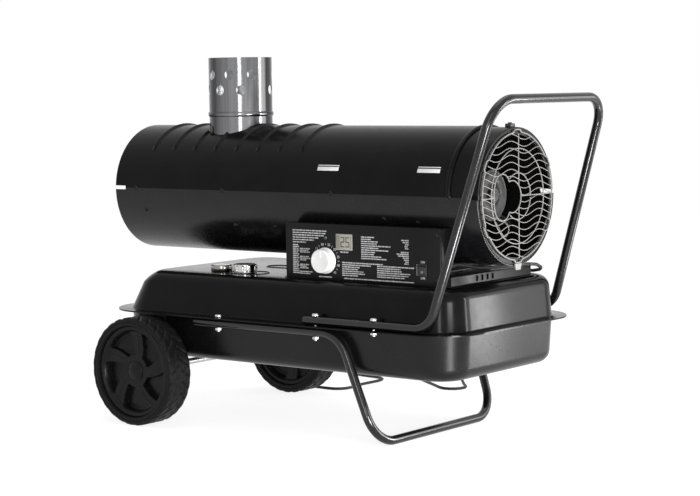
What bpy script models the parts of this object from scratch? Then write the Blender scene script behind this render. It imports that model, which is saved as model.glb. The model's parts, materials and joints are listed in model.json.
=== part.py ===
"""Indirect fired heater: a barrel with a drum and flue over a fuel tank on two wheels and a foot.

Metres, +Z up, origin on the floor under the middle of the heater.
The barrel lies along X: hot air leaves at -X and the fan draws in at +X.
The control box is on the -Y side. "Along" is a distance from the outlet end of the barrel.
"""
import math
import bpy
import bmesh
from mathutils import Matrix, Vector

# General
CLEARANCE = 0.0003
OVERRUN = 0.004
SHEET = 0.0012

# Barrel
BARREL_LENGTH = 0.838
BARREL_RADIUS = 0.1195
BARREL_GAP = 0.0285
SEAM_RISE = 0.0026
END_SLOT_LENGTH = 0.026
END_SLOT_HEIGHT = 0.007
COVER_SETBACK = 0.055
COVER_BEAD_HEIGHT = 0.003
COVER_BEAD_WIDTH = 0.009
RIB_COUNT = 8
RIB_PITCH = 0.052
RIB_WIDTH = 0.016
RIB_HEIGHT = 0.006
FIRST_RIB_ALONG = 0.078
RIB_END_ANGLE = math.radians(38)
RIB_SHARES = (-0.5, 0, 0.5)
SEAM_STRIP_WIDTH = 0.022
SHROUD_LENGTH = 0.195
SHROUD_LIP = 0.013
OUTLET_HEM = 0.004

# Inside the barrel
LINER_MARGIN = 0.0155
LINER_INSET = 0.012
LINER_SHROUD_GAP = 0.031
DRUM_MARGIN = 0.024
DRUM_START = 0.100
BURNER_FAN_GAP = 0.0297
DRUM_DOME = 0.024
DRUM_WALL = 0.0015
STAY_WIDTH = 0.018
STAY_THICKNESS = 0.002
STAY_SETBACK = 0.070
BURNER_RADIUS = 0.046
BURNER_LENGTH = 0.078
BURNER_WALL = 0.002
NOZZLE_RADIUS = 0.009
NOZZLE_LENGTH = 0.050
DIFFUSER_THICKNESS = 0.003

# Fan and motor
MOTOR_RADIUS = 0.040
MOTOR_LENGTH = 0.086
MOTOR_SETBACK = 0.052
MOTOR_BOSS_RADIUS = 0.015
MOTOR_BOSS_HEIGHT = 0.006
MOTOR_EDGE = 0.005
SHAFT_RADIUS = 0.005
SHAFT_GRIP = 0.022
FAN_MARGIN = 0.0105
FAN_HUB_RADIUS = 0.026
FAN_HUB_LENGTH = 0.030
FAN_GAP = 0.012
FAN_BLADES = 5
BLADE_THICKNESS = 0.0016
BLADE_PITCH = math.radians(32)
BLADE_ROOT_CHORD = 0.034
BLADE_TIP_CHORD = 0.062
MOUNT_COLLAR = 0.003
MOUNT_WIDTH = 0.026
MOUNT_ARM_THICKNESS = 0.003
MOUNT_SETBACK = 0.030

# Inlet guard
GUARD_MARGIN = 0.009
GUARD_DEPTH = 0.005
GUARD_RIM = 0.005
GUARD_MID_RADIUS = 0.0815
GUARD_HUB_RADIUS = 0.0415
GUARD_BAND = 0.0036
GUARD_BAR = 0.0026
GUARD_BAR_DEPTH = 0.0034
GUARD_PITCH = 0.0119
GUARD_WAVE_LENGTH = 0.088
GUARD_SWING = 0.0050
GUARD_TURNS = 3
GUARD_CREST_Y = -0.022
GUARD_LOBE_HALF_WIDTH = 0.024
GUARD_LOBE_HALF_HEIGHT = 0.0375
GUARD_LOBE_OFFSET = 0.048
GUARD_EYE_RADIUS = 0.0255
GUARD_EYE_OFFSET = 0.0175
GUARD_UPRIGHT_Y = 0.003
GUARD_TABS = 6
GUARD_TAB_WIDTH = 0.016
GUARD_TAB_REACH = 0.0045
GUARD_CLIP_HEIGHT = 0.011
GUARD_CLIP_WIDTH = 0.020
GUARD_CLIP_FOOT = 0.014

# Flue
FLUE_RADIUS = 0.060
FLUE_ALONG = 0.219
FLUE_RISE = 0.247
FLUE_WALL = 0.0012
FLUE_BEAD_RISE = 0.141
FLUE_BEAD = 0.0022
FLUE_BEAD_WIDTH = 0.009
FLUE_HOLE_RADIUS = 0.0095
FLUE_UPPER_HOLE_RISE = 0.215
FLUE_LOWER_HOLE_RISE = 0.186
FLUE_HOLES = 8
FLUE_HOLE_STEP = math.radians(41.6)
FLUE_UPPER_START = math.radians(41)
FLUE_LOWER_START = math.radians(21)
FLUE_SOCKET = 0.020

# Tank
TANK_START = 0.035
TANK_LENGTH = 0.815
TANK_HALF_WIDTH = 0.207
FLANGE_HEIGHT = 0.205
FLANGE_MARGIN = 0.0265
FLANGE_CORNER = 0.090
TANK_UPPER_DEPTH = 0.074
TANK_LOWER_DEPTH = 0.083
TANK_EDGE = 0.022
TANK_DRAFT = 0.004
TANK_CORNER_STEPS = 4

# Filler and gauge
FILLER_ALONG = 0.314
FILLER_Y = -0.105
NECK_RADIUS = 0.0175
NECK_WALL = 0.002
NECK_HEIGHT = 0.0105
NECK_FOOT_RADIUS = 0.0215
NECK_FOOT = 0.0018
NECK_DEPTH = 0.012
CAP_RADIUS = 0.0225
CAP_HEIGHT = 0.0145
CAP_WALL = 0.0028
CAP_TOP = 0.003
CAP_FLUTES = 12
CAP_FLUTE_DEPTH = 0.0016
CAP_FLUTE_RADIUS = 0.0022
SEAL_THICKNESS = 0.002
GAUGE_ALONG = 0.258
GAUGE_Y = -0.107
GAUGE_RADIUS = 0.020
GAUGE_HEIGHT = 0.012
GAUGE_RIM = 0.003
GAUGE_DIAL_DEPTH = 0.004
GAUGE_GLASS = 0.0014
GAUGE_STEM_RADIUS = 0.012
NEEDLE_LENGTH = 0.019
NEEDLE_WIDTH = 0.0016
NEEDLE_THICKNESS = 0.0006
NEEDLE_BOSS = 0.002

# Handle and foot
TUBE_RADIUS = 0.008
FOOT_TUBE_RADIUS = 0.008
HANDLE_OVERHANG = 0.024
HANDLE_HEEL_RUN = 0.114
HANDLE_REACH = 0.071
HANDLE_RISE = 0.3885
HANDLE_TOP_HALF = 0.173
HANDLE_HEEL_BEND = 0.042
HANDLE_TOP_BEND = 0.055
FOOT_SETBACK = 0.113
FOOT_OVERHANG = 0.055
FOOT_KNEE_RUN = 0.051
FOOT_TOE_RUN = 0.066
FOOT_TOE_HALF = 0.179
FOOT_BEND = 0.055
BOLT_RADIUS = 0.003
BOLT_HEAD_RADIUS = 0.0065
BOLT_HEAD_HEIGHT = 0.0045
FOOT_BOLT_SPACING = 0.225
HANDLE_BOLT_SPACING = 0.126

# Wheels
WHEEL_RADIUS = 0.100
WHEEL_WIDTH = 0.056
WHEEL_ALONG = 0.157
WHEEL_TRACK_HALF = 0.222
RIM_RADIUS = 0.084
RIM_WIDTH = 0.046
RIM_LIP = 0.006
RIM_DISH = 0.007
SPOKE_COUNT = 5
POCKET_INNER = 0.030
POCKET_OUTER = 0.074
POCKET_DEPTH = 0.013
SPOKE_WIDTH = 0.020
SPOKE_SWIRL = math.radians(26)
HUB_CAP_RADIUS = 0.019
HUB_CAP_HEIGHT = 0.006
HUB_RADIUS = 0.024
AXLE_RADIUS = 0.006
BUSH_RADIUS = 0.012
BRACKET_THICKNESS = 0.003
BRACKET_WIDTH = 0.070
BRACKET_EYE = 0.016
BRACKET_LIP = 0.0068

# Control box
BOX_START = 0.443
BOX_LENGTH = 0.335
BOX_FRONT = 0.140
BOX_RISE = 0.099
BOX_DEPTH = 0.030
BOX_WALL = 0.002
BASE_OVERHANG = 0.020
BASE_BACK = 0.108
BASE_HEIGHT = 0.0185
FOOTING_MARGIN = 0.006
FOOTING_THICKNESS = 0.002
SLOT_WIDTH = 0.005
SLOT_HEIGHT = 0.009
SLOT_PITCH = 0.016
SLOT_DEPTH = 0.010
SLOT_COUNT = 4
SLOT_FIRST_Y = -0.062
SADDLE_THICKNESS = 0.003
SADDLE_HALF = 0.072
SADDLE_SETBACK = 0.040
PANEL_THICKNESS = 0.0015
PANEL_RIM = 0.001

# Controls
KNOB_INSET = 0.090
KNOB_RISE = 0.035
KNOB_RADIUS = 0.023
KNOB_DEPTH = 0.017
KNOB_TAPER = 0.002
KNOB_SKIRT = 0.002
KNOB_STEM_RADIUS = 0.003
KNOB_STEM_LENGTH = 0.012
KNOB_POINTER = 0.002
LAMP_RISE = 0.040
LAMP_RADIUS = 0.003
LAMP_DOME = 0.0015
DISPLAY_INSET = 0.132
DISPLAY_DROP = 0.030
DISPLAY_WIDTH = 0.036
DISPLAY_TALL = 0.028
DISPLAY_PROUD = 0.0012
SWITCH_INSET = 0.036
SWITCH_RISE = 0.028
SWITCH_WIDTH = 0.017
SWITCH_TALL = 0.021
SWITCH_RIM = 0.0022
SWITCH_PROUD = 0.0016
SWITCH_BODY = 0.016
ROCKER_PIVOT_DEPTH = 0.003
ROCKER_PROUD = 0.001
ROCKER_END_GAP = 0.001
ROCKER_BACK = 0.0027
ROCKER_TILT = math.radians(6)

# Power cord
CORD_DIAMETER = 0.006
RELIEF_LENGTH = 0.024
RELIEF_RADIUS = 0.0065
RELIEF_NOSE = 0.0045
RELIEF_INSET = 0.012
RELIEF_RISE = 0.033
PLUG_RADIUS = 0.017
PLUG_LENGTH = 0.036
PLUG_NECK = 0.018
PIN_RADIUS = 0.0024
PIN_LENGTH = 0.019
PIN_SPACING = 0.019
BEND_LIMIT = math.radians(52)

# Smoothness
ROUND = 32
INNER_ROUND = 18
SMALL_ROUND = 12
TINY_ROUND = 10
HEX = 6
LINER_ROUND = 24
GUARD_MID_ROUND = 20
GUARD_HUB_ROUND = 16
WHEEL_ROUND = 24
COVER_STEPS = 16
FLAT_LIMIT = math.radians(0.5)
SHELL_STEPS = 20

# Derived places
TANK_TOP = FLANGE_HEIGHT + TANK_UPPER_DEPTH
TANK_BOTTOM = FLANGE_HEIGHT - TANK_LOWER_DEPTH
BARREL_HEIGHT = TANK_TOP + BARREL_GAP + BARREL_RADIUS
COVER_LENGTH = BARREL_LENGTH - COVER_SETBACK
LINER_RADIUS = BARREL_RADIUS - LINER_MARGIN
DRUM_RADIUS = LINER_RADIUS - DRUM_MARGIN
FAN_RADIUS = BARREL_RADIUS - FAN_MARGIN
GUARD_RADIUS = BARREL_RADIUS - GUARD_MARGIN
FLUE_TOP = BARREL_HEIGHT + FLUE_RISE
FLUE_BEAD_HEIGHT = BARREL_HEIGHT + FLUE_BEAD_RISE
HANDLE_HEIGHT = FLANGE_HEIGHT + HANDLE_RISE
FOOT_START = WHEEL_ALONG + FOOT_SETBACK
FOOT_BOLT_ALONG = FOOT_START + FOOT_OVERHANG
SHARED_BOLT_ALONG = FOOT_BOLT_ALONG + FOOT_BOLT_SPACING
HANDLE_BOLT_ALONG = SHARED_BOLT_ALONG + HANDLE_BOLT_SPACING
FOOT_KNEE = SHARED_BOLT_ALONG + FOOT_KNEE_RUN
FOOT_TOE = FOOT_KNEE + FOOT_TOE_RUN
HANDLE_START = SHARED_BOLT_ALONG - HANDLE_OVERHANG
HANDLE_HEEL = HANDLE_BOLT_ALONG + HANDLE_HEEL_RUN
BOX_TOP = TANK_TOP + BOX_RISE
BASE_LENGTH = BOX_LENGTH + BASE_OVERHANG
BOX_END = BOX_START + BOX_LENGTH
KNOB_ALONG = BOX_START + KNOB_INSET
KNOB_HEIGHT = TANK_TOP + KNOB_RISE
LAMP_HEIGHT = KNOB_HEIGHT + LAMP_RISE
DISPLAY_ALONG = BOX_START + DISPLAY_INSET
DISPLAY_HEIGHT = BOX_TOP - DISPLAY_DROP
SWITCH_ALONG = BOX_END - SWITCH_INSET
SWITCH_HEIGHT = TANK_TOP + SWITCH_RISE
RELIEF_ALONG = BOX_END - RELIEF_INSET
RELIEF_HEIGHT = TANK_TOP + RELIEF_RISE
HALF_LENGTH = (BARREL_LENGTH + HANDLE_REACH + TUBE_RADIUS) / 2
OUTLET_X = -HALF_LENGTH
INLET_X = OUTLET_X + BARREL_LENGTH
AXIS = Vector((0, 0, BARREL_HEIGHT))
SEAM_ANGLE = math.asin(SEAM_RISE / BARREL_RADIUS)
SHELL_INNER = BARREL_RADIUS - SHEET
# The largest radius that clears the flats of the faceted shells from inside
SHELL_SEAT = SHELL_INNER * math.cos(math.pi / COVER_STEPS / 2) - CLEARANCE
SHROUD_SEAT = (SHELL_SEAT - SHEET) * math.cos(math.pi / ROUND) - CLEARANCE
FLUE_X = OUTLET_X + FLUE_ALONG
WHEEL_X = OUTLET_X + WHEEL_ALONG
WHEEL_CENTRE = WHEEL_RADIUS
FLANGE_TOP = FLANGE_HEIGHT + CLEARANCE / 2 + SHEET
FLANGE_UNDER = FLANGE_HEIGHT - CLEARANCE / 2 - SHEET
RAIL_Y = TANK_HALF_WIDTH - FLANGE_MARGIN / 2
MOTOR_BACK = INLET_X - MOTOR_SETBACK
MOTOR_FRONT = MOTOR_BACK - MOTOR_LENGTH
FAN_BACK = MOTOR_FRONT - FAN_GAP
FAN_FRONT = FAN_BACK - FAN_HUB_LENGTH
DRUM_X = OUTLET_X + DRUM_START
DRUM_END = FAN_FRONT - BURNER_FAN_GAP - BURNER_LENGTH - CLEARANCE
LINER_X = OUTLET_X + LINER_INSET
LINER_END = INLET_X - SHROUD_LENGTH - LINER_SHROUD_GAP
PANEL_Y = -BOX_FRONT
PANEL_FACE = PANEL_Y - PANEL_THICKNESS
BASE_BOTTOM = TANK_TOP + CLEARANCE
BASE_TOP = BASE_BOTTOM + BASE_HEIGHT
BOX_X = OUTLET_X + BOX_START

MATERIALS = {
    "black_paint": ((0.020, 0.020, 0.022), 0.38, 0.0),
    "gloss_tube": ((0.012, 0.012, 0.013), 0.22, 0.0),
    "stainless": ((0.62, 0.62, 0.60), 0.28, 1.0),
    "grey_plastic": ((0.52, 0.52, 0.50), 0.45, 0.0),
    "galvanised": ((0.45, 0.46, 0.47), 0.40, 1.0),
    "hot_steel": ((0.16, 0.15, 0.14), 0.55, 1.0),
    "motor_paint": ((0.06, 0.06, 0.065), 0.45, 0.0),
    "cast_aluminium": ((0.40, 0.40, 0.41), 0.42, 1.0),
    "panel_black": ((0.014, 0.014, 0.016), 0.50, 0.0),
    "white_plastic": ((0.86, 0.86, 0.85), 0.40, 0.0),
    "switch_black": ((0.016, 0.016, 0.017), 0.35, 0.0),
    "display_grey": ((0.45, 0.44, 0.38), 0.30, 0.0),
    "lamp_green": ((0.02, 0.16, 0.06), 0.20, 0.0),
    "chrome": ((0.78, 0.78, 0.79), 0.08, 1.0),
    "gauge_white": ((0.80, 0.80, 0.78), 0.50, 0.0),
    "gauge_red": ((0.55, 0.03, 0.02), 0.45, 0.0),
    "clear_glass": ((0.90, 0.92, 0.92), 0.05, 0.0),
    "zinc": ((0.60, 0.60, 0.61), 0.32, 1.0),
    "tyre_rubber": ((0.022, 0.022, 0.023), 0.80, 0.0),
    "rim_plastic": ((0.035, 0.035, 0.038), 0.50, 0.0),
    "seal_rubber": ((0.015, 0.015, 0.015), 0.85, 0.0),
    "cord_rubber": ((0.012, 0.012, 0.013), 0.60, 0.0),
}


def clear_scene():
    for item in list(bpy.data.objects):
        bpy.data.objects.remove(item, do_unlink=True)


def new_collection(name):
    collection = bpy.data.collections.new(name)
    bpy.context.scene.collection.children.link(collection)
    return collection


def make_materials():
    made = {}
    for name, (color, roughness, metallic) in MATERIALS.items():
        material = bpy.data.materials.new(name)
        material.use_nodes = True
        shader = material.node_tree.nodes["Principled BSDF"]
        shader.inputs["Base Color"].default_value = (*color, 1)
        shader.inputs["Roughness"].default_value = roughness
        shader.inputs["Metallic"].default_value = metallic
        material.diffuse_color = (*color, 1)
        made[name] = material
    return made


clear_scene()
PARTS = new_collection("indirect_fired_heater")
CUTTERS = new_collection("cutters")
FINISH = make_materials()


def add_object(name, data, material=None):
    """Links a part when it has a material, and a hidden cutter when it has none."""
    item = bpy.data.objects.new(name, data)
    if material is None:
        CUTTERS.objects.link(item)
        item.hide_render = True
        item.display_type = "WIRE"
    else:
        PARTS.objects.link(item)
        data.materials.clear()
        data.materials.append(FINISH[material])
    return item


def smooth(item, angle=math.radians(35)):
    item.data.shade_smooth()
    item.data.set_sharp_from_angle(angle=angle)
    return item


def mesh_object(name, bm, material=None):
    bmesh.ops.recalc_face_normals(bm, faces=bm.faces)
    mesh = bpy.data.meshes.new(name)
    bm.to_mesh(mesh)
    bm.free()
    return smooth(add_object(name, mesh, material))


def block(name, low, high, material=None):
    low = Vector(low)
    high = Vector(high)
    size = high - low
    bm = bmesh.new()
    placed = Matrix.Translation((low + high) / 2) @ Matrix.Diagonal((*size, 1))
    bmesh.ops.create_cube(bm, size=1, matrix=placed)
    return mesh_object(name, bm, material)


def rod(name, start, end, radius, material=None, segments=SMALL_ROUND):
    """A cylinder between two points."""
    start = Vector(start)
    end = Vector(end)
    along = end - start
    turned_to = along.to_track_quat("Z", "Y").to_matrix().to_4x4()
    bm = bmesh.new()
    bmesh.ops.create_cone(
        bm, cap_ends=True, segments=segments, radius1=radius, radius2=radius, depth=along.length,
        matrix=Matrix.Translation((start + end) / 2) @ turned_to)
    return mesh_object(name, bm, material)


def change(item, other, operation):
    """Cuts or joins one solid with another, which becomes a hidden helper."""
    modifier = item.modifiers.new(operation.lower(), "BOOLEAN")
    modifier.operation = operation
    modifier.solver = "EXACT"
    modifier.object = other
    return item


def cut(item, *cutters):
    for cutter in cutters:
        change(item, cutter, "DIFFERENCE")
    return item


def fuse(item, *others):
    for other in others:
        change(item, other, "UNION")
    return item


def frozen(item, material=None):
    """A plain mesh copy of an object with its modifiers or bevel applied; the original goes."""
    graph = bpy.context.evaluated_depsgraph_get()
    mesh = bpy.data.meshes.new_from_object(item.evaluated_get(graph))
    name = item.name
    matrix = item.matrix_world.copy()
    bm = bmesh.new()
    bm.from_mesh(mesh)
    bmesh.ops.remove_doubles(bm, verts=bm.verts, dist=CLEARANCE / 30)
    bmesh.ops.recalc_face_normals(bm, faces=bm.faces)
    bm.to_mesh(mesh)
    bm.free()
    bpy.data.objects.remove(item, do_unlink=True)
    copy = add_object(name, mesh, material)
    copy.name = name
    copy.matrix_world = matrix
    return smooth(copy)


def turned(name, profile, material=None, location=(0, 0, 0), rotation=(0, 0, 0), steps=ROUND):
    """A turned solid: a closed profile of (radius, height) points, its outer side running down."""
    mesh = bpy.data.meshes.new(name)
    points = [(radius, 0, height) for radius, height in profile]
    count = len(points)
    closed = profile[0][0] > 0 or profile[-1][0] > 0
    edges = [(i, i + 1) for i in range(count - 1)]
    if closed:
        edges.append((count - 1, 0))
    mesh.from_pydata(points, edges, [])
    item = add_object(name, mesh, material)
    item.location = location
    item.rotation_euler = rotation
    screw = item.modifiers.new("turn", "SCREW")
    screw.axis = "Z"
    screw.steps = steps
    screw.render_steps = steps
    screw.use_merge_vertices = True
    screw.merge_threshold = 0.00001
    screw.use_smooth_shade = False
    return item


ALONG_X = (0, math.radians(90), 0)
# Turns a drawing in (across, up) to stand across the barrel, or to face the near side.
ACROSS = Matrix(((0, 0, 1, 0), (1, 0, 0, 0), (0, 1, 0, 0), (0, 0, 0, 1)))
SIDEWAYS = Matrix(((1, 0, 0, 0), (0, 0, -1, 0), (0, 1, 0, 0), (0, 0, 0, 1)))
TOWARDS_NEAR = (math.radians(90), 0, 0)
TOWARDS_FAR = (math.radians(-90), 0, 0)
# Brings the corners of a six-sided cutter to those of a six-sided bolt.
QUARTER_TURN = Matrix.Rotation(math.radians(90), 4, "Z")


def outline_solid(name, rings, thickness, material=None):
    """Flat outlines in XY, with any holes, extruded evenly about z = 0, as a mesh."""
    curve = bpy.data.curves.new(name, "CURVE")
    curve.dimensions = "2D"
    curve.fill_mode = "BOTH"
    curve.extrude = thickness / 2
    for ring in rings:
        spline = curve.splines.new("POLY")
        spline.points.add(len(ring) - 1)
        for point, (x, y) in zip(spline.points, ring):
            point.co = (x, y, 0, 1)
        spline.use_cyclic_u = True
    item = add_object(name, curve, material)
    return frozen(item, material)


def rounded_path(corners, radii, steps=4):
    """A polyline whose inner corners are round; each corner has its own bend radius."""
    points = [Vector(corners[0])]
    for before, corner, after, radius in zip(corners, corners[1:], corners[2:], radii):
        corner = Vector(corner)
        back = (Vector(before) - corner).normalized()
        ahead = (Vector(after) - corner).normalized()
        half = back.angle(ahead) / 2
        reach = radius / math.tan(half)
        centre = corner + (back + ahead).normalized() * radius / math.sin(half)
        start = corner + back * reach - centre
        end = corner + ahead * reach - centre
        sweep = start.angle(end)
        axis = start.cross(end)
        for i in range(steps + 1):
            points.append(centre + Matrix.Rotation(sweep * i / steps, 3, axis) @ start)
    points.append(Vector(corners[-1]))
    return points


def tube(name, points, radius, material=None, resolution=3):
    """A round bar along a polyline, as a mesh."""
    curve = bpy.data.curves.new(name, "CURVE")
    curve.dimensions = "3D"
    curve.bevel_depth = radius
    curve.bevel_resolution = resolution
    curve.use_fill_caps = True
    spline = curve.splines.new("POLY")
    spline.points.add(len(points) - 1)
    for point, place in zip(spline.points, points):
        point.co = (*place, 1)
    item = add_object(name, curve, material)
    return frozen(item, material)


def polar(radius, angle):
    return Vector((0, radius * math.cos(angle), radius * math.sin(angle)))


def spun_sheet(name, stations, start_angle, end_angle, steps, material, raise_by=None):
    """A sheet turned about the barrel axis from (x, radius) stations, open between two angles.

    The angle is 0 at +Y and grows towards +Z. The sheet grows inwards from its outer face.
    """
    bm = bmesh.new()
    first = polar(1, start_angle)
    verts = [bm.verts.new(Vector((x, 0, 0)) + first * radius) for x, radius in stations]
    edges = [bm.edges.new(pair) for pair in zip(verts, verts[1:])]
    bmesh.ops.spin(
        bm, geom=verts + edges, cent=(0, 0, 0), axis=(1, 0, 0),
        angle=end_angle - start_angle, steps=steps, use_duplicate=False)
    if raise_by is not None:
        for vert in bm.verts:
            angle = math.atan2(vert.co.z, vert.co.y)
            radius = math.hypot(vert.co.y, vert.co.z)
            lift = raise_by(vert.co.x, angle)
            vert.co.y *= (radius + lift) / radius
            vert.co.z *= (radius + lift) / radius
    bmesh.ops.translate(bm, verts=bm.verts, vec=AXIS)
    bmesh.ops.recalc_face_normals(bm, faces=bm.faces)
    bmesh.ops.dissolve_limit(bm, angle_limit=FLAT_LIMIT, verts=bm.verts[:], edges=bm.edges[:])
    bm.faces.ensure_lookup_table()
    sample = bm.faces[0]
    outward = sample.calc_center_median() - AXIS
    outward.x = 0
    if sample.normal.dot(outward) < 0:
        bmesh.ops.reverse_faces(bm, faces=bm.faces)
    mesh = bpy.data.meshes.new(name)
    bm.to_mesh(mesh)
    bm.free()
    item = smooth(add_object(name, mesh, material))
    thick = item.modifiers.new("sheet", "SOLIDIFY")
    thick.thickness = SHEET
    thick.offset = -1
    thick.use_even_offset = True
    return item


def end_slot_cutter(name, x):
    """The slot at the end of both seams, right across the barrel."""
    seam = BARREL_HEIGHT + SEAM_RISE
    reach = BARREL_RADIUS + OVERRUN
    return block(name, (x - END_SLOT_LENGTH, -reach, seam - END_SLOT_HEIGHT / 2),
                 (x + END_SLOT_LENGTH, reach, seam + END_SLOT_HEIGHT / 2))


def rib_lift(x, angle):
    """How far the pressed ribs stand out at a place on the cover."""
    if not RIB_END_ANGLE <= angle <= math.pi - RIB_END_ANGLE:
        return 0
    for index in range(RIB_COUNT):
        centre = OUTLET_X + FIRST_RIB_ALONG + index * RIB_PITCH
        if abs(x - centre) < RIB_WIDTH / 8:
            return RIB_HEIGHT
    return 0


def make_casing():
    edge = SEAM_ANGLE
    gap = CLEARANCE / 2 / BARREL_RADIUS
    lower_stations = [(OUTLET_X, BARREL_RADIUS), (INLET_X, BARREL_RADIUS)]
    lower = spun_sheet("lower_shell", lower_stations, math.pi - edge + gap,
                       2 * math.pi + edge - gap, SHELL_STEPS, "black_paint")
    cover_stations = [(OUTLET_X, BARREL_RADIUS)]
    for index in range(RIB_COUNT):
        centre = OUTLET_X + FIRST_RIB_ALONG + index * RIB_PITCH
        cover_stations += [(centre + share * RIB_WIDTH, BARREL_RADIUS) for share in RIB_SHARES]
    bead = OUTLET_X + COVER_LENGTH - COVER_BEAD_WIDTH
    raised = BARREL_RADIUS + COVER_BEAD_HEIGHT
    cover_stations += [(bead, BARREL_RADIUS), (bead + COVER_BEAD_WIDTH / 3, raised),
                       (bead + COVER_BEAD_WIDTH * 2 / 3, raised), (bead + COVER_BEAD_WIDTH, BARREL_RADIUS)]
    cover = spun_sheet("upper_cover", cover_stations, edge + gap, math.pi - edge - gap, COVER_STEPS,
                       "black_paint", rib_lift)
    flue_hole = rod("flue_hole", (FLUE_X, 0, BARREL_HEIGHT), (FLUE_X, 0, FLUE_TOP),
                    FLUE_RADIUS + CLEARANCE * 2, segments=ROUND)
    cut(lower, end_slot_cutter("outlet_slot", OUTLET_X), end_slot_cutter("inlet_slot", INLET_X))
    cut(cover, flue_hole, end_slot_cutter("outlet_slot_top", OUTLET_X))

    strip_angle = SEAM_STRIP_WIDTH / 2 / SHELL_INNER
    strip_start = OUTLET_X + END_SLOT_LENGTH + CLEARANCE
    strip_end = INLET_X - SHROUD_LENGTH - CLEARANCE
    radius = SHELL_SEAT
    for side, middle in (("near", math.pi - edge), ("far", edge)):
        spun_sheet("seam_strip_" + side, [(strip_start, radius), (strip_end, radius)],
                   middle - strip_angle, middle + strip_angle, 4, "galvanised")
    return flue_hole


def make_shroud():
    """The ring round the fan: it carries the guard and the motor, inside the lower shell."""
    outer = SHELL_SEAT
    inner = outer - SHEET
    lip = outer - SHROUD_LIP
    profile = [(outer, 0), (outer, -SHROUD_LENGTH), (inner, -SHROUD_LENGTH), (inner, -SHEET),
               (lip, -SHEET), (lip, 0)]
    shroud = turned("fan_shroud", profile, "black_paint", (INLET_X, 0, BARREL_HEIGHT), ALONG_X)
    return cut(shroud, end_slot_cutter("shroud_slot", INLET_X))


def radial_arms(name, centre_x, width, inner, outer, thickness, count, first_angle):
    """Flat arms about the barrel axis, as one hidden solid to be joined to a ring."""
    bm = bmesh.new()
    for index in range(count):
        turn = Matrix.Rotation(first_angle + 2 * math.pi * index / count, 4, "X")
        placed = (Matrix.Translation((centre_x, 0, BARREL_HEIGHT)) @ turn
                  @ Matrix.Translation((0, (inner + outer) / 2, 0))
                  @ Matrix.Diagonal((width, outer - inner, thickness, 1)))
        bmesh.ops.create_cube(bm, size=1, matrix=placed)
    return mesh_object(name, bm)


def ring_about_axis(name, x, width, inner, outer, material, steps=ROUND):
    profile = [(outer, width / 2), (outer, -width / 2), (inner, -width / 2), (inner, width / 2)]
    return turned(name, profile, material, (x, 0, BARREL_HEIGHT), ALONG_X, steps)


def domed_drum(name, radius, end, material=None):
    """A drum with a flat end towards the fan and a domed end towards the outlet."""
    length = end - DRUM_X
    profile = [(0, 0), (radius, 0)]
    steps = 3
    for step in range(steps + 1):
        angle = math.pi / 2 * step / steps
        rise = DRUM_DOME * math.sin(angle) * radius / DRUM_RADIUS
        profile.append((radius * math.cos(angle), -length - rise))
    profile[-1] = (0, profile[-1][1])
    return turned(name, profile, material, (end, 0, BARREL_HEIGHT), ALONG_X, INNER_ROUND)


def make_inside(flue_hole):
    liner = ring_about_axis("inner_liner", (LINER_X + LINER_END) / 2, LINER_END - LINER_X,
                            LINER_RADIUS - SHEET, LINER_RADIUS, "galvanised", LINER_ROUND)
    cut(liner, flue_hole)

    drum = domed_drum("heat_drum", DRUM_RADIUS, DRUM_END, "hot_steel")
    stub_radius = (FLUE_RADIUS - FLUE_WALL) * math.cos(math.pi / ROUND) - CLEARANCE / 2
    stub = rod("flue_stub", (FLUE_X, 0, BARREL_HEIGHT + DRUM_RADIUS / 2),
               (FLUE_X, 0, FLUE_BEAD_HEIGHT + FLUE_BEAD_WIDTH), stub_radius, segments=INNER_ROUND)
    stub_bore = rod("flue_stub_bore", (FLUE_X, 0, BARREL_HEIGHT), (FLUE_X, 0, FLUE_TOP),
                    FLUE_RADIUS - FLUE_WALL * 2 - CLEARANCE, segments=INNER_ROUND)
    hollow = domed_drum("drum_hollow", DRUM_RADIUS - DRUM_WALL, DRUM_END - DRUM_WALL)
    burner_hole = rod("burner_hole", (DRUM_END - DRUM_WALL - OVERRUN, 0, BARREL_HEIGHT),
                      (DRUM_END + OVERRUN, 0, BARREL_HEIGHT), BURNER_RADIUS - BURNER_WALL, segments=INNER_ROUND)
    cut(fuse(drum, stub), hollow, stub_bore, burner_hole)

    liner_seat = (LINER_RADIUS - SHEET) * math.cos(math.pi / LINER_ROUND) - CLEARANCE
    spans = (("drum_stay", DRUM_RADIUS + CLEARANCE, liner_seat, 0, INNER_ROUND),
             ("liner_stay", LINER_RADIUS + CLEARANCE, SHELL_SEAT, math.radians(60), LINER_ROUND))
    for name, inner, outer, turn, facets in spans:
        for end, x in (("outlet", DRUM_X + STAY_SETBACK / 2), ("fan", DRUM_END - STAY_SETBACK)):
            stay = ring_about_axis(name + "_" + end, x, STAY_WIDTH, inner, inner + STAY_THICKNESS, "galvanised",
                                   facets)
            arms = radial_arms(stay.name + "_leg", x, STAY_WIDTH, inner + STAY_THICKNESS / 2, outer,
                               STAY_THICKNESS, 3, math.radians(-90) + turn)
            fuse(stay, arms)

    tube_start = DRUM_END + CLEARANCE
    ring_about_axis("burner_tube", tube_start + BURNER_LENGTH / 2, BURNER_LENGTH,
                    BURNER_RADIUS - BURNER_WALL, BURNER_RADIUS, "hot_steel", INNER_ROUND)
    plate = BURNER_RADIUS - BURNER_WALL - CLEARANCE
    nozzle = [(0, NOZZLE_LENGTH), (NOZZLE_RADIUS / 2, NOZZLE_LENGTH), (NOZZLE_RADIUS, NOZZLE_LENGTH * 0.8),
              (NOZZLE_RADIUS, DIFFUSER_THICKNESS), (plate, DIFFUSER_THICKNESS), (plate, 0), (0, 0)]
    turned("burner_head", nozzle, "hot_steel", (tube_start + BURNER_LENGTH * 0.75, 0, BARREL_HEIGHT),
           (0, math.radians(-90), 0), INNER_ROUND)


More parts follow.
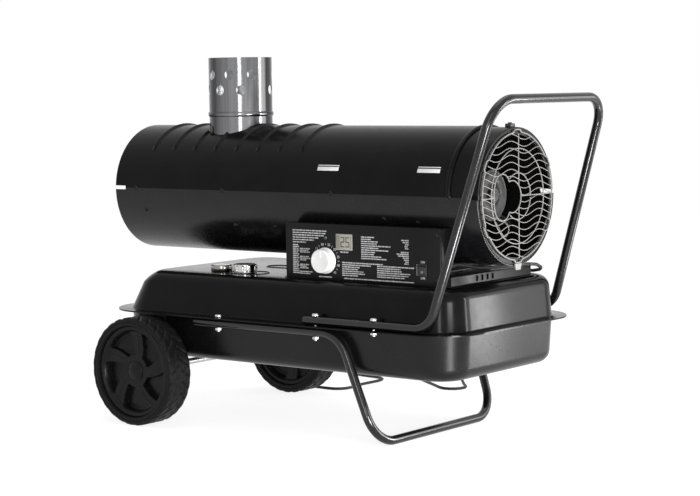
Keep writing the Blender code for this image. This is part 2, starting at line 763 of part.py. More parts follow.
def make_motor():
    profile = [(0, 0), (MOTOR_BOSS_RADIUS, 0), (MOTOR_BOSS_RADIUS, -MOTOR_BOSS_HEIGHT),
               (MOTOR_RADIUS - MOTOR_EDGE, -MOTOR_BOSS_HEIGHT),
               (MOTOR_RADIUS, -MOTOR_BOSS_HEIGHT - MOTOR_EDGE), (MOTOR_RADIUS, -MOTOR_LENGTH), (0, -MOTOR_LENGTH)]
    motor = turned("motor", profile, "motor_paint", (MOTOR_BACK, 0, BARREL_HEIGHT), ALONG_X, INNER_ROUND)
    bore = rod("motor_bore", (MOTOR_FRONT - OVERRUN, 0, BARREL_HEIGHT),
               (MOTOR_FRONT + SHAFT_GRIP + CLEARANCE, 0, BARREL_HEIGHT), SHAFT_RADIUS + CLEARANCE)
    cut(motor, bore)
    collar_x = MOTOR_BACK - MOTOR_BOSS_HEIGHT - MOUNT_SETBACK
    inner = MOTOR_RADIUS + CLEARANCE
    mount = ring_about_axis("motor_mount", collar_x, MOUNT_WIDTH, inner, inner + MOUNT_COLLAR, "galvanised",
                            INNER_ROUND)
    arms = radial_arms("motor_arm", collar_x, MOUNT_WIDTH, inner + MOUNT_COLLAR / 2,
                       SHROUD_SEAT, MOUNT_ARM_THICKNESS, 3, math.radians(90))
    fuse(mount, arms)


def make_fan():
    """Five pitched blades on a hub, turning with the motor shaft about the barrel axis."""
    profile = [(0, 0), (FAN_HUB_RADIUS, 0), (FAN_HUB_RADIUS, -FAN_HUB_LENGTH), (0, -FAN_HUB_LENGTH)]
    hub = turned("fan", profile, "cast_aluminium", (FAN_BACK, 0, BARREL_HEIGHT), ALONG_X, SMALL_ROUND)
    middle = (FAN_BACK + FAN_FRONT) / 2
    root = FAN_HUB_RADIUS * 0.8
    for index in range(FAN_BLADES):
        outline = [(root, -BLADE_ROOT_CHORD / 2), (FAN_RADIUS * 0.75, -BLADE_TIP_CHORD / 2),
                   (FAN_RADIUS * 0.96, -BLADE_TIP_CHORD / 4), (FAN_RADIUS * 0.96, BLADE_TIP_CHORD / 4),
                   (FAN_RADIUS * 0.75, BLADE_TIP_CHORD / 2), (root, BLADE_ROOT_CHORD / 2)]
        blade = outline_solid("fan_blade_" + str(index), [outline], BLADE_THICKNESS)
        turn = Matrix.Rotation(2 * math.pi * index / FAN_BLADES, 4, "X")
        pitch = Matrix.Rotation(BLADE_PITCH, 4, "Y")
        blade.matrix_world = Matrix.Translation((middle, 0, BARREL_HEIGHT)) @ turn @ pitch @ ACROSS
        fuse(hub, blade)
    shaft_bore = rod("fan_bore", (FAN_FRONT - OVERRUN, 0, BARREL_HEIGHT),
                     (FAN_BACK + OVERRUN, 0, BARREL_HEIGHT), SHAFT_RADIUS + CLEARANCE)
    cut(hub, shaft_bore)
    rod("motor_shaft", (FAN_FRONT, 0, BARREL_HEIGHT), (MOTOR_FRONT + SHAFT_GRIP, 0, BARREL_HEIGHT),
        SHAFT_RADIUS, "zinc")


def wavy_bar(level):
    """The outline of one bar of the guard: a level wave from rim to rim."""
    reach = GUARD_RADIUS - GUARD_RIM / 2
    middle = [GUARD_CREST_Y + turn * GUARD_WAVE_LENGTH / 2 for turn in range(-GUARD_TURNS, GUARD_TURNS + 1)]

    def height(across):
        return level + GUARD_SWING * math.cos(2 * math.pi * (across - GUARD_CREST_Y) / GUARD_WAVE_LENGTH)

    ends = []
    for side in (-1, 1):
        across = side * reach
        while math.hypot(across, height(across)) > reach:
            across -= side * GUARD_BAR / 4
        ends.append(across)
    crests = [across for across in middle if ends[0] + GUARD_BAR < across < ends[1] - GUARD_BAR]
    places = [ends[0]] + crests + [ends[1]]
    upper = [(across, height(across) + GUARD_BAR / 2) for across in places]
    lower = [(across, height(across) - GUARD_BAR / 2) for across in places]
    return upper + lower[::-1]


def lobe_outline(grow):
    """The tall rounded opening beside the hub ring."""
    points = []
    steps = 18
    squareness = 2 / 2.4
    for step in range(steps):
        angle = 2 * math.pi * step / steps
        across = math.copysign(abs(math.cos(angle)) ** squareness, math.cos(angle))
        up = math.copysign(abs(math.sin(angle)) ** squareness, math.sin(angle))
        points.append((-GUARD_LOBE_OFFSET + (GUARD_LOBE_HALF_WIDTH + grow) * across,
                       (GUARD_LOBE_HALF_HEIGHT + grow) * up))
    return points


def make_guard():
    middle = INLET_X + CLEARANCE + GUARD_DEPTH / 2
    place = Matrix.Translation((middle, 0, BARREL_HEIGHT)) @ ACROSS
    inner_depth = GUARD_DEPTH * 0.8

    def band(name, radius, width, depth, material=None, steps=ROUND):
        return ring_about_axis(name, middle, depth, radius - width, radius, material, steps)

    def flat(name, rings, depth):
        item = outline_solid(name, rings, depth)
        item.matrix_world = place
        return item

    def disc(name, offset, radius, depth):
        return rod(name, (middle - depth / 2, -offset, BARREL_HEIGHT), (middle + depth / 2, -offset, BARREL_HEIGHT),
                   radius, segments=GUARD_HUB_ROUND)

    guard = band("inlet_guard", GUARD_RADIUS, GUARD_RIM, GUARD_DEPTH, "grey_plastic")
    mid_ring = band("guard_mid", GUARD_MID_RADIUS + GUARD_BAND / 2, GUARD_BAND, inner_depth, None, GUARD_MID_ROUND)
    hub_ring = band("guard_hub", GUARD_HUB_RADIUS, GUARD_BAND, inner_depth, None, GUARD_HUB_ROUND)
    half = GUARD_RADIUS - GUARD_RIM / 2
    bar = GUARD_BAND / 2
    depth = inner_depth * 0.96 / 2
    upright = block("guard_upright", (middle - depth, GUARD_UPRIGHT_Y - bar, BARREL_HEIGHT - half),
                    (middle + depth, GUARD_UPRIGHT_Y + bar, BARREL_HEIGHT + half))
    level = block("guard_level", (middle - depth, -half, BARREL_HEIGHT - bar),
                  (middle + depth, half, BARREL_HEIGHT + bar))
    tabs = radial_arms("guard_tabs", middle, GUARD_DEPTH * 0.7, GUARD_RADIUS - GUARD_RIM / 2,
                       GUARD_RADIUS + GUARD_TAB_REACH, GUARD_TAB_WIDTH, GUARD_TABS, math.radians(90))
    bars = int(GUARD_RADIUS / GUARD_PITCH)
    outlines = [wavy_bar((index + 0.5) * GUARD_PITCH) for index in range(-bars, bars)]
    wavy = flat("guard_wavy", outlines, GUARD_BAR_DEPTH)
    fuse(guard, mid_ring, hub_ring, upright, level, tabs, wavy)
    frame_depth = inner_depth * 1.04
    fuse(guard, flat("guard_lobe", [lobe_outline(GUARD_BAND)], frame_depth),
         disc("guard_eye", GUARD_EYE_OFFSET, GUARD_EYE_RADIUS + GUARD_BAND, frame_depth * 0.98))
    cut(guard, flat("guard_lobe_hole", [lobe_outline(0)], GUARD_DEPTH * 3),
        disc("guard_eye_hole", GUARD_EYE_OFFSET, GUARD_EYE_RADIUS, GUARD_DEPTH * 3))

    top = -GUARD_RADIUS - GUARD_TAB_REACH - CLEARANCE
    low = top - GUARD_CLIP_HEIGHT
    outline = [(-GUARD_CLIP_WIDTH / 2, top), (-GUARD_CLIP_FOOT / 2, low), (GUARD_CLIP_FOOT / 2, low),
               (GUARD_CLIP_WIDTH / 2, top)]
    clip = outline_solid("guard_clip", [outline], GUARD_DEPTH * 0.6, "grey_plastic")
    clip.matrix_world = Matrix.Translation((middle - GUARD_DEPTH * 0.2, 0, BARREL_HEIGHT)) @ ACROSS


def make_flue():
    outer = FLUE_RADIUS
    inner = FLUE_RADIUS - FLUE_WALL
    base = BARREL_HEIGHT + DRUM_RADIUS + FLUE_SOCKET
    half = FLUE_BEAD_WIDTH / 2
    profile = [(outer, FLUE_TOP), (outer, FLUE_BEAD_HEIGHT + half), (outer + FLUE_BEAD, FLUE_BEAD_HEIGHT),
               (outer, FLUE_BEAD_HEIGHT - half), (outer, base), (inner, base), (inner, FLUE_TOP)]
    flue = turned("flue_pipe", profile, "stainless", (FLUE_X, 0, 0))
    cutters = bmesh.new()
    for rise, start in ((FLUE_UPPER_HOLE_RISE, FLUE_UPPER_START), (FLUE_LOWER_HOLE_RISE, FLUE_LOWER_START)):
        for index in range(FLUE_HOLES):
            angle = start + index * FLUE_HOLE_STEP
            outwards = Vector((math.cos(angle), math.sin(angle), 0))
            place = Vector((FLUE_X, 0, BARREL_HEIGHT + rise)) + outwards * FLUE_RADIUS
            turn = outwards.to_track_quat("Z", "Y").to_matrix().to_4x4()
            bmesh.ops.create_cone(cutters, cap_ends=True, segments=HEX, radius1=FLUE_HOLE_RADIUS,
                                  radius2=FLUE_HOLE_RADIUS, depth=FLUE_RADIUS / 2,
                                  matrix=Matrix.Translation(place) @ turn)
    cut(flue, mesh_object("flue_holes", cutters))


def rounded_rectangle(inset, height):
    """The tank's outline at a height, drawn in from the flange edge."""
    x_low = OUTLET_X + TANK_START + inset
    x_high = OUTLET_X + TANK_START + TANK_LENGTH - inset
    half = TANK_HALF_WIDTH - inset
    corner = max(FLANGE_CORNER - inset, CLEARANCE)
    centres = ((x_high - corner, half - corner, 0), (x_low + corner, half - corner, 1),
               (x_low + corner, corner - half, 2), (x_high - corner, corner - half, 3))
    ring = []
    for centre_x, centre_y, quarter in centres:
        for step in range(TANK_CORNER_STEPS + 1):
            angle = math.pi / 2 * (quarter + step / TANK_CORNER_STEPS)
            ring.append(Vector((centre_x + corner * math.cos(angle), centre_y + corner * math.sin(angle), height)))
    return ring


def tank_shell(name, flange_face, floor_face, upwards):
    """A pressed half shell: flange, drafted wall, round edge and flat floor."""
    sign = 1 if upwards else -1
    rings = [rounded_rectangle(0, flange_face), rounded_rectangle(FLANGE_MARGIN - SHEET, flange_face)]
    rings.append(rounded_rectangle(FLANGE_MARGIN, flange_face + sign * SHEET))
    wall_inset = FLANGE_MARGIN + TANK_DRAFT
    steps = 2
    for step in range(steps + 1):
        angle = math.pi / 2 * step / steps
        inset = wall_inset + TANK_EDGE * (1 - math.cos(angle))
        rings.append(rounded_rectangle(inset, floor_face - sign * TANK_EDGE * (1 - math.sin(angle))))
    bm = bmesh.new()
    loops = [[bm.verts.new(point) for point in ring] for ring in rings]
    count = len(loops[0])
    for lower, higher in zip(loops, loops[1:]):
        for i in range(count):
            bm.faces.new((lower[i], lower[(i + 1) % count], higher[(i + 1) % count], higher[i]))
    bm.faces.new(loops[-1])
    bmesh.ops.recalc_face_normals(bm, faces=bm.faces)
    bm.faces.ensure_lookup_table()
    lid = bm.faces[-1]
    if lid.normal.z * sign < 0:
        bmesh.ops.reverse_faces(bm, faces=bm.faces)
    mesh = bpy.data.meshes.new(name)
    bm.to_mesh(mesh)
    bm.free()
    shell = smooth(add_object(name, mesh, "black_paint"))
    thick = shell.modifiers.new("sheet", "SOLIDIFY")
    thick.thickness = SHEET
    thick.offset = -1
    thick.use_even_offset = True
    return shell


def bolt_places():
    for side in (-1, 1):
        for word, along in (("foot", FOOT_BOLT_ALONG), ("shared", SHARED_BOLT_ALONG), ("handle", HANDLE_BOLT_ALONG)):
            yield side, word, OUTLET_X + along


def make_tank():
    upper = tank_shell("tank_upper", FLANGE_TOP, TANK_TOP, True)
    lower = tank_shell("tank_lower", FLANGE_UNDER, TANK_BOTTOM, False)
    neck_x = OUTLET_X + FILLER_ALONG
    filler_hole = rod("filler_hole", (neck_x, FILLER_Y, TANK_TOP - OVERRUN * 2),
                      (neck_x, FILLER_Y, TANK_TOP + OVERRUN), NECK_RADIUS + CLEARANCE)
    gauge_x = OUTLET_X + GAUGE_ALONG
    gauge_hole = rod("gauge_hole", (gauge_x, GAUGE_Y, TANK_TOP - OVERRUN * 2),
                     (gauge_x, GAUGE_Y, TANK_TOP + OVERRUN), GAUGE_STEM_RADIUS + CLEARANCE,
                     segments=INNER_ROUND + HEX)
    cut(upper, filler_hole, gauge_hole)
    holes = bmesh.new()
    reach = SHEET * 2 + OVERRUN
    for side, word, x in bolt_places():
        bmesh.ops.create_cone(holes, cap_ends=True, segments=HEX, radius1=BOLT_RADIUS + CLEARANCE,
                              radius2=BOLT_RADIUS + CLEARANCE, depth=reach * 2,
                              matrix=Matrix.Translation((x, side * RAIL_Y, FLANGE_HEIGHT)) @ QUARTER_TURN)
    cutter = mesh_object("flange_holes", holes)
    cut(upper, cutter)
    cut(lower, cutter)


def make_filler():
    x = OUTLET_X + FILLER_ALONG
    bore = NECK_RADIUS - NECK_WALL
    foot = TANK_TOP + CLEARANCE
    rim = TANK_TOP + NECK_HEIGHT
    profile = [(NECK_RADIUS, rim), (NECK_RADIUS, foot + NECK_FOOT), (NECK_FOOT_RADIUS, foot + NECK_FOOT),
               (NECK_FOOT_RADIUS, foot), (NECK_RADIUS, foot), (NECK_RADIUS, TANK_TOP - NECK_DEPTH),
               (bore, TANK_TOP - NECK_DEPTH), (bore, rim)]
    turned("filler_neck", profile, "zinc", (x, FILLER_Y, 0), steps=SMALL_ROUND)
    seal_low = rim + CLEARANCE
    seal = [(NECK_RADIUS, seal_low + SEAL_THICKNESS), (NECK_RADIUS, seal_low), (bore, seal_low),
            (bore, seal_low + SEAL_THICKNESS)]
    turned("cap_seal", seal, "seal_rubber", (x, FILLER_Y, 0), steps=SMALL_ROUND)
    inner_top = seal_low + SEAL_THICKNESS + CLEARANCE
    top = inner_top + CAP_TOP
    inner = CAP_RADIUS - CAP_WALL
    skirt = max(top - CAP_HEIGHT, foot + NECK_FOOT + CLEARANCE)
    profile = [(0, top), (CAP_RADIUS - CAP_TOP / 2, top), (CAP_RADIUS, top - CAP_TOP / 2), (CAP_RADIUS, skirt),
               (inner, skirt), (inner, inner_top), (0, inner_top)]
    cap = turned("fuel_cap", profile, "chrome", (x, FILLER_Y, 0), steps=INNER_ROUND + HEX)
    flutes = bmesh.new()
    for index in range(CAP_FLUTES):
        angle = 2 * math.pi * index / CAP_FLUTES
        reach = CAP_RADIUS + CAP_FLUTE_RADIUS - CAP_FLUTE_DEPTH
        place = (x + reach * math.cos(angle), FILLER_Y + reach * math.sin(angle), (skirt + top) / 2)
        bmesh.ops.create_cone(flutes, cap_ends=True, segments=HEX, radius1=CAP_FLUTE_RADIUS,
                              radius2=CAP_FLUTE_RADIUS, depth=top - skirt + OVERRUN,
                              matrix=Matrix.Translation(place))
    cut(cap, mesh_object("cap_flutes", flutes))


def make_gauge():
    x = OUTLET_X + GAUGE_ALONG
    base = TANK_TOP + CLEARANCE
    rim = TANK_TOP + GAUGE_HEIGHT
    well = GAUGE_RADIUS - GAUGE_RIM
    dial = rim - GAUGE_DIAL_DEPTH
    profile = [(0, dial), (well, dial), (well, rim), (GAUGE_RADIUS - GAUGE_RIM / 3, rim),
               (GAUGE_RADIUS, rim - GAUGE_RIM / 2), (GAUGE_RADIUS, base), (GAUGE_STEM_RADIUS, base),
               (GAUGE_STEM_RADIUS, TANK_TOP - NECK_DEPTH), (0, TANK_TOP - NECK_DEPTH)]
    turned("fuel_gauge", profile, "chrome", (x, GAUGE_Y, 0), steps=INNER_ROUND + HEX)
    glass_low = rim - GAUGE_GLASS
    turned("gauge_glass", [(0, rim), (well - CLEARANCE, rim), (well - CLEARANCE, glass_low), (0, glass_low)],
           "clear_glass", (x, GAUGE_Y, 0), steps=INNER_ROUND + HEX)
    needle_low = dial + CLEARANCE
    boss = [(0, needle_low + NEEDLE_THICKNESS * 2), (NEEDLE_BOSS, needle_low + NEEDLE_THICKNESS * 2),
            (NEEDLE_BOSS, needle_low), (0, needle_low)]
    needle = turned("gauge_needle", boss, "gauge_red", (x, GAUGE_Y, 0), steps=TINY_ROUND)
    pointer = block("needle_pointer", (x - NEEDLE_LENGTH * 0.25, GAUGE_Y - NEEDLE_WIDTH / 2, needle_low),
                    (x + NEEDLE_LENGTH * 0.75, GAUGE_Y + NEEDLE_WIDTH / 2, needle_low + NEEDLE_THICKNESS))
    fuse(needle, pointer)


def mirrored(points):
    """The same path on the far side, run the other way."""
    return [Vector((point.x, -point.y, point.z)) for point in map(Vector, reversed(points))]


def bolt_hole_cutter(name, low, high, wanted):
    bm = bmesh.new()
    for side, word, x in bolt_places():
        if word in wanted:
            middle = Vector((x, side * RAIL_Y, (low + high) / 2))
            bmesh.ops.create_cone(bm, cap_ends=True, segments=HEX, radius1=BOLT_RADIUS + CLEARANCE,
                                  radius2=BOLT_RADIUS + CLEARANCE, depth=high - low,
                                  matrix=Matrix.Translation(middle) @ QUARTER_TURN)
    return mesh_object(name, bm)


def make_tubes():
    rail = FLANGE_TOP + CLEARANCE + TUBE_RADIUS
    top_x = INLET_X + HANDLE_REACH
    near = [(OUTLET_X + HANDLE_START, -RAIL_Y, rail), (OUTLET_X + HANDLE_HEEL, -RAIL_Y, rail),
            (top_x, -HANDLE_TOP_HALF, HANDLE_HEIGHT)]
    corners = near + mirrored(near)
    bends = (HANDLE_HEEL_BEND, HANDLE_TOP_BEND, HANDLE_TOP_BEND, HANDLE_HEEL_BEND)
    handle = tube("handle", rounded_path(corners, bends), TUBE_RADIUS, "gloss_tube")
    cut(handle, bolt_hole_cutter("handle_holes", rail - TUBE_RADIUS * 2, rail + TUBE_RADIUS * 2, ("shared", "handle")))

    rail = FLANGE_UNDER - CLEARANCE - FOOT_TUBE_RADIUS
    near = [(OUTLET_X + FOOT_START, -RAIL_Y, rail), (OUTLET_X + FOOT_KNEE, -RAIL_Y, rail),
            (OUTLET_X + FOOT_TOE, -FOOT_TOE_HALF, FOOT_TUBE_RADIUS)]
    corners = near + mirrored(near)
    foot = tube("foot", rounded_path(corners, (FOOT_BEND,) * 4), FOOT_TUBE_RADIUS, "gloss_tube")
    cut(foot, bolt_hole_cutter("foot_holes", rail - FOOT_TUBE_RADIUS * 2, rail + FOOT_TUBE_RADIUS * 2,
                               ("shared", "foot")))


def make_bolts():
    """Bolts through the flange: each holds the handle, the foot or both, with its nut below."""
    handle_top = FLANGE_TOP + CLEARANCE + TUBE_RADIUS * 2
    foot_under = FLANGE_UNDER - CLEARANCE - FOOT_TUBE_RADIUS * 2
    for side, word, x in bolt_places():
        name = word + "_bolt_" + ("near" if side < 0 else "far")
        under_head = (FLANGE_TOP if word == "foot" else handle_top) + CLEARANCE
        over_nut = (FLANGE_UNDER if word == "handle" else foot_under) - CLEARANCE
        y = side * RAIL_Y
        profile = [(0, under_head + BOLT_HEAD_HEIGHT), (BOLT_HEAD_RADIUS * 0.8, under_head + BOLT_HEAD_HEIGHT),
                   (BOLT_HEAD_RADIUS, under_head + BOLT_HEAD_HEIGHT * 0.6), (BOLT_HEAD_RADIUS, under_head),
                   (BOLT_RADIUS, under_head), (BOLT_RADIUS, over_nut), (BOLT_HEAD_RADIUS, over_nut),
                   (BOLT_HEAD_RADIUS, over_nut - BOLT_HEAD_HEIGHT), (BOLT_RADIUS, over_nut - BOLT_HEAD_HEIGHT),
                   (BOLT_RADIUS, over_nut - BOLT_HEAD_HEIGHT * 1.6), (0, over_nut - BOLT_HEAD_HEIGHT * 1.6)]
        turned(name, profile, "zinc", (x, y, 0), steps=HEX)


def pocket_outline(index):
    """One swirled pocket between two spokes, in polar steps."""
    steps = 2
    pitch = 2 * math.pi / SPOKE_COUNT
    sides = []
    for edge in (0, 1):
        side = []
        for step in range(steps + 1):
            radius = POCKET_INNER + (POCKET_OUTER - POCKET_INNER) * step / steps
            spoke = SPOKE_WIDTH / 2 / radius
            turn = SPOKE_SWIRL * step / steps
            angle = pitch * (index + edge) + turn + (spoke if edge == 0 else -spoke)
            side.append((radius, angle))
        sides.append(side)
    rise, fall = sides
    outer = []
    for step in range(1, steps):
        share = step / steps
        outer.append((POCKET_OUTER, rise[-1][1] + (fall[-1][1] - rise[-1][1]) * share))
    ring = rise + outer + fall[::-1]
    return [(radius * math.cos(angle), radius * math.sin(angle)) for radius, angle in ring]


def make_wheel(side):
    """A wheel on the axle: moulded rim, rubber tyre and hub cap, turned about the wheel's own axis."""
    word = "near" if side < 0 else "far"
    rotation = TOWARDS_NEAR if side < 0 else TOWARDS_FAR
    centre = Vector((WHEEL_X, side * WHEEL_TRACK_HALF, WHEEL_CENTRE))
    half = RIM_WIDTH / 2
    bore = AXLE_RADIUS + CLEARANCE
    dish = half - RIM_DISH
    profile = [(RIM_RADIUS, half), (RIM_RADIUS, -half), (RIM_RADIUS - RIM_LIP, -half),
               (RIM_RADIUS - RIM_LIP - RIM_DISH, -dish), (HUB_RADIUS, -dish), (HUB_RADIUS, -half),
               (bore, -half), (bore, dish), (RIM_RADIUS - RIM_LIP - RIM_DISH, dish), (RIM_RADIUS - RIM_LIP, half)]
    rim = turned("rim_" + word, profile, "rim_plastic", centre, rotation, WHEEL_ROUND)
    for face in (-1, 1):
        pockets = outline_solid("pockets_%s_%d" % (word, face + 1),
                                [pocket_outline(index) for index in range(SPOKE_COUNT)], POCKET_DEPTH * 2)
        place = Matrix.Translation((0, 0, face * dish))
        pockets.matrix_world = Matrix.Translation(centre) @ Matrix.Rotation(rotation[0], 4, "X") @ place
        cut(rim, pockets)

    inner = RIM_RADIUS + CLEARANCE
    width = WHEEL_WIDTH / 2
    bead = RIM_LIP / 2
    profile = [(WHEEL_RADIUS - bead, width), (WHEEL_RADIUS, width - bead * 3), (WHEEL_RADIUS, bead * 3 - width),
               (WHEEL_RADIUS - bead, -width), (inner + bead, -width), (inner, -half), (inner, half),
               (inner + bead, width)]
    turned("tyre_" + word, profile, "tyre_rubber", centre, rotation, WHEEL_ROUND)

    low = dish + CLEARANCE
    top = low + HUB_CAP_HEIGHT
    profile = [(0, top)]
    steps = 4
    for step in range(1, steps + 1):
        angle = math.pi / 2 * step / steps
        profile.append((HUB_CAP_RADIUS * math.sin(angle), low + HUB_CAP_HEIGHT * math.cos(angle)))
    profile += [(0, low)]
    turned("hub_cap_" + word, profile, "rim_plastic", centre, rotation, SMALL_ROUND)


def make_axle():
    end = WHEEL_TRACK_HALF + RIM_WIDTH / 2 - RIM_DISH
    rod("axle", (WHEEL_X, -end, WHEEL_CENTRE), (WHEEL_X, end, WHEEL_CENTRE), AXLE_RADIUS, "zinc")
    wheel_inner = WHEEL_TRACK_HALF - RIM_WIDTH / 2
    plate_outer = TANK_HALF_WIDTH - FLANGE_MARGIN + BRACKET_THICKNESS * 3
    top = FLANGE_UNDER - CLEARANCE
    steps = 8
    for side, word in ((-1, "near"), (1, "far")):
        outline = [(-BRACKET_WIDTH / 2, top), (BRACKET_WIDTH / 2, top)]
        for step in range(steps + 1):
            angle = -math.pi * step / steps
            outline.append((BRACKET_EYE * math.cos(angle), WHEEL_CENTRE + BRACKET_EYE * math.sin(angle)))
        plate = outline_solid("axle_bracket_" + word, [outline[::-1]], BRACKET_THICKNESS, "black_paint")
        middle = side * (plate_outer - BRACKET_THICKNESS / 2)
        plate.matrix_world = Matrix.Translation((WHEEL_X, middle, 0)) @ SIDEWAYS
        lip_ends = sorted((side * (plate_outer - BRACKET_THICKNESS / 2), side * (plate_outer - BRACKET_LIP)))
        lip = block("bracket_lip_" + word, (WHEEL_X - BRACKET_WIDTH / 2 * 0.98, lip_ends[0], top - BRACKET_THICKNESS),
                    (WHEEL_X + BRACKET_WIDTH / 2 * 0.98, lip_ends[1], top - CLEARANCE))
        bush = rod("axle_bush_" + word, (WHEEL_X, side * (plate_outer - BRACKET_THICKNESS), WHEEL_CENTRE),
                   (WHEEL_X, side * (wheel_inner - CLEARANCE), WHEEL_CENTRE), BUSH_RADIUS)
        bore = rod("axle_bore_" + word, (WHEEL_X, side * (plate_outer - BRACKET_THICKNESS * 2), WHEEL_CENTRE),
                   (WHEEL_X, side * (wheel_inner + OVERRUN), WHEEL_CENTRE), AXLE_RADIUS + CLEARANCE)
        fuse(plate, lip, bush)
        cut(plate, bore)


def make_control_box():
    """The box under the barrel: a tall front for the panel and a low base behind it."""
    box_end = BOX_X + BOX_LENGTH
    base_end = BOX_X + BASE_LENGTH
    back = -BOX_FRONT + BOX_DEPTH
    box = block("control_box", (BOX_X, -BOX_FRONT, BASE_BOTTOM), (box_end, back, BOX_TOP), "black_paint")
    base = block("base_box", (BOX_X, -BOX_FRONT, BASE_BOTTOM), (base_end, BASE_BACK, BASE_TOP))
    margin = FOOTING_MARGIN
    footing = block("base_footing", (BOX_X - margin, -BOX_FRONT, BASE_BOTTOM),
                    (base_end + margin, BASE_BACK + margin, BASE_BOTTOM + FOOTING_THICKNESS))
    hollow = block("box_hollow", (BOX_X + BOX_WALL, -BOX_FRONT - OVERRUN, BASE_BOTTOM + BOX_WALL),
                   (box_end - BOX_WALL, back - BOX_WALL, BOX_TOP - BOX_WALL))
    slots = bmesh.new()
    for index in range(SLOT_COUNT):
        y = SLOT_FIRST_Y + index * SLOT_PITCH
        size = (SLOT_DEPTH * 2, SLOT_WIDTH, SLOT_HEIGHT)
        placed = Matrix.Translation((base_end, y, (BASE_BOTTOM + FOOTING_THICKNESS + BASE_TOP) / 2))
        bmesh.ops.create_cube(slots, size=1, matrix=placed @ Matrix.Diagonal((*size, 1)))
    fuse(box, base, footing)
    under = block("base_hollow", (BOX_X + BOX_WALL, back, BASE_BOTTOM - OVERRUN),
                  (base_end - BOX_WALL, BASE_BACK - BOX_WALL, BASE_TOP - BOX_WALL))
    cut(box, hollow, under, mesh_object("base_slots", slots))
    relief_x = OUTLET_X + RELIEF_ALONG
    relief_hole = rod("relief_hole", (relief_x, back - BOX_WALL - OVERRUN, RELIEF_HEIGHT),
                      (relief_x, back + OVERRUN, RELIEF_HEIGHT), RELIEF_NOSE + CLEARANCE)
    cut(box, relief_hole)

    steps = 12
    radius = BARREL_RADIUS + CLEARANCE
    half_angle = math.asin(SADDLE_HALF / radius)
    for word, x in (("outlet", BOX_X + SADDLE_SETBACK), ("fan", box_end - SADDLE_SETBACK)):
        low = BASE_TOP + CLEARANCE
        outline = [(-SADDLE_HALF, low)]
        for step in range(steps + 1):
            angle = -math.pi / 2 - half_angle + 2 * half_angle * step / steps
            outline.append((radius * math.cos(angle), BARREL_HEIGHT + radius * math.sin(angle)))
        outline.append((SADDLE_HALF, low))
        saddle = outline_solid("saddle_" + word, [outline], SADDLE_THICKNESS, "black_paint")
        saddle.matrix_world = Matrix.Translation((x, 0, 0)) @ ACROSS


def make_panel():
    box_end = BOX_X + BOX_LENGTH
    back = PANEL_Y - CLEARANCE
    front = back - PANEL_THICKNESS
    panel = block("control_panel", (BOX_X, front, BASE_BOTTOM), (box_end, back, BOX_TOP), "panel_black")
    knob_x = OUTLET_X + KNOB_ALONG
    stem_hole = rod("stem_hole", (knob_x, front - OVERRUN, KNOB_HEIGHT), (knob_x, back + OVERRUN, KNOB_HEIGHT),
                    KNOB_STEM_RADIUS + CLEARANCE, segments=TINY_ROUND)
    lamp_hole = rod("lamp_hole", (knob_x, front - OVERRUN, LAMP_HEIGHT), (knob_x, back + OVERRUN, LAMP_HEIGHT),
                    LAMP_RADIUS + CLEARANCE, segments=TINY_ROUND)
    switch_x = OUTLET_X + SWITCH_ALONG
    inner = SWITCH_WIDTH / 2 - SWITCH_RIM / 2
    tall = SWITCH_TALL / 2 - SWITCH_RIM / 2
    switch_hole = block("switch_hole", (switch_x - inner, front - OVERRUN, SWITCH_HEIGHT - tall),
                        (switch_x + inner, back + OVERRUN, SWITCH_HEIGHT + tall))
    cut(panel, stem_hole, lamp_hole, switch_hole)

    face = front - CLEARANCE
    display_x = OUTLET_X + DISPLAY_ALONG
    block("display_window", (display_x - DISPLAY_WIDTH / 2, face - DISPLAY_PROUD, DISPLAY_HEIGHT - DISPLAY_TALL / 2),
          (display_x + DISPLAY_WIDTH / 2, face, DISPLAY_HEIGHT + DISPLAY_TALL / 2), "display_grey")
    lamp = [(0, LAMP_DOME), (LAMP_RADIUS * 0.7, LAMP_DOME * 0.7), (LAMP_RADIUS, 0),
            (LAMP_RADIUS, -PANEL_THICKNESS - LAMP_DOME), (0, -PANEL_THICKNESS - LAMP_DOME)]
    turned("status_lamp", lamp, "lamp_green", (knob_x, face, LAMP_HEIGHT), TOWARDS_NEAR, TINY_ROUND)
    make_knob(knob_x, face)
    make_switch(switch_x, face)


def make_knob(x, face):
    top = KNOB_DEPTH
    profile = [(0, top), (KNOB_RADIUS - KNOB_TAPER - KNOB_SKIRT, top), (KNOB_RADIUS - KNOB_TAPER, top - KNOB_SKIRT),
               (KNOB_RADIUS, KNOB_SKIRT), (KNOB_RADIUS, 0), (KNOB_STEM_RADIUS, 0),
               (KNOB_STEM_RADIUS, -KNOB_STEM_LENGTH), (0, -KNOB_STEM_LENGTH)]
    knob = turned("thermostat_knob", profile, "white_plastic", (x, face, KNOB_HEIGHT), TOWARDS_NEAR, INNER_ROUND + HEX)
    notch = block("knob_notch", (x - KNOB_POINTER / 2, face - KNOB_DEPTH - OVERRUN, KNOB_HEIGHT + KNOB_RADIUS * 0.45),
                  (x + KNOB_POINTER / 2, face - KNOB_DEPTH + KNOB_POINTER / 2, KNOB_HEIGHT + KNOB_RADIUS * 1.2))
    cut(knob, notch)
    nut_back = PANEL_Y + CLEARANCE
    body = rod("thermostat_body", (x, nut_back, KNOB_HEIGHT),
               (x, -BOX_FRONT + BOX_DEPTH - BOX_WALL - CLEARANCE, KNOB_HEIGHT), KNOB_STEM_RADIUS * 3, "galvanised")
    bore = rod("thermostat_bore", (x, nut_back - OVERRUN, KNOB_HEIGHT),
               (x, face + KNOB_STEM_LENGTH + CLEARANCE, KNOB_HEIGHT), KNOB_STEM_RADIUS + CLEARANCE, segments=TINY_ROUND)
    cut(body, bore)


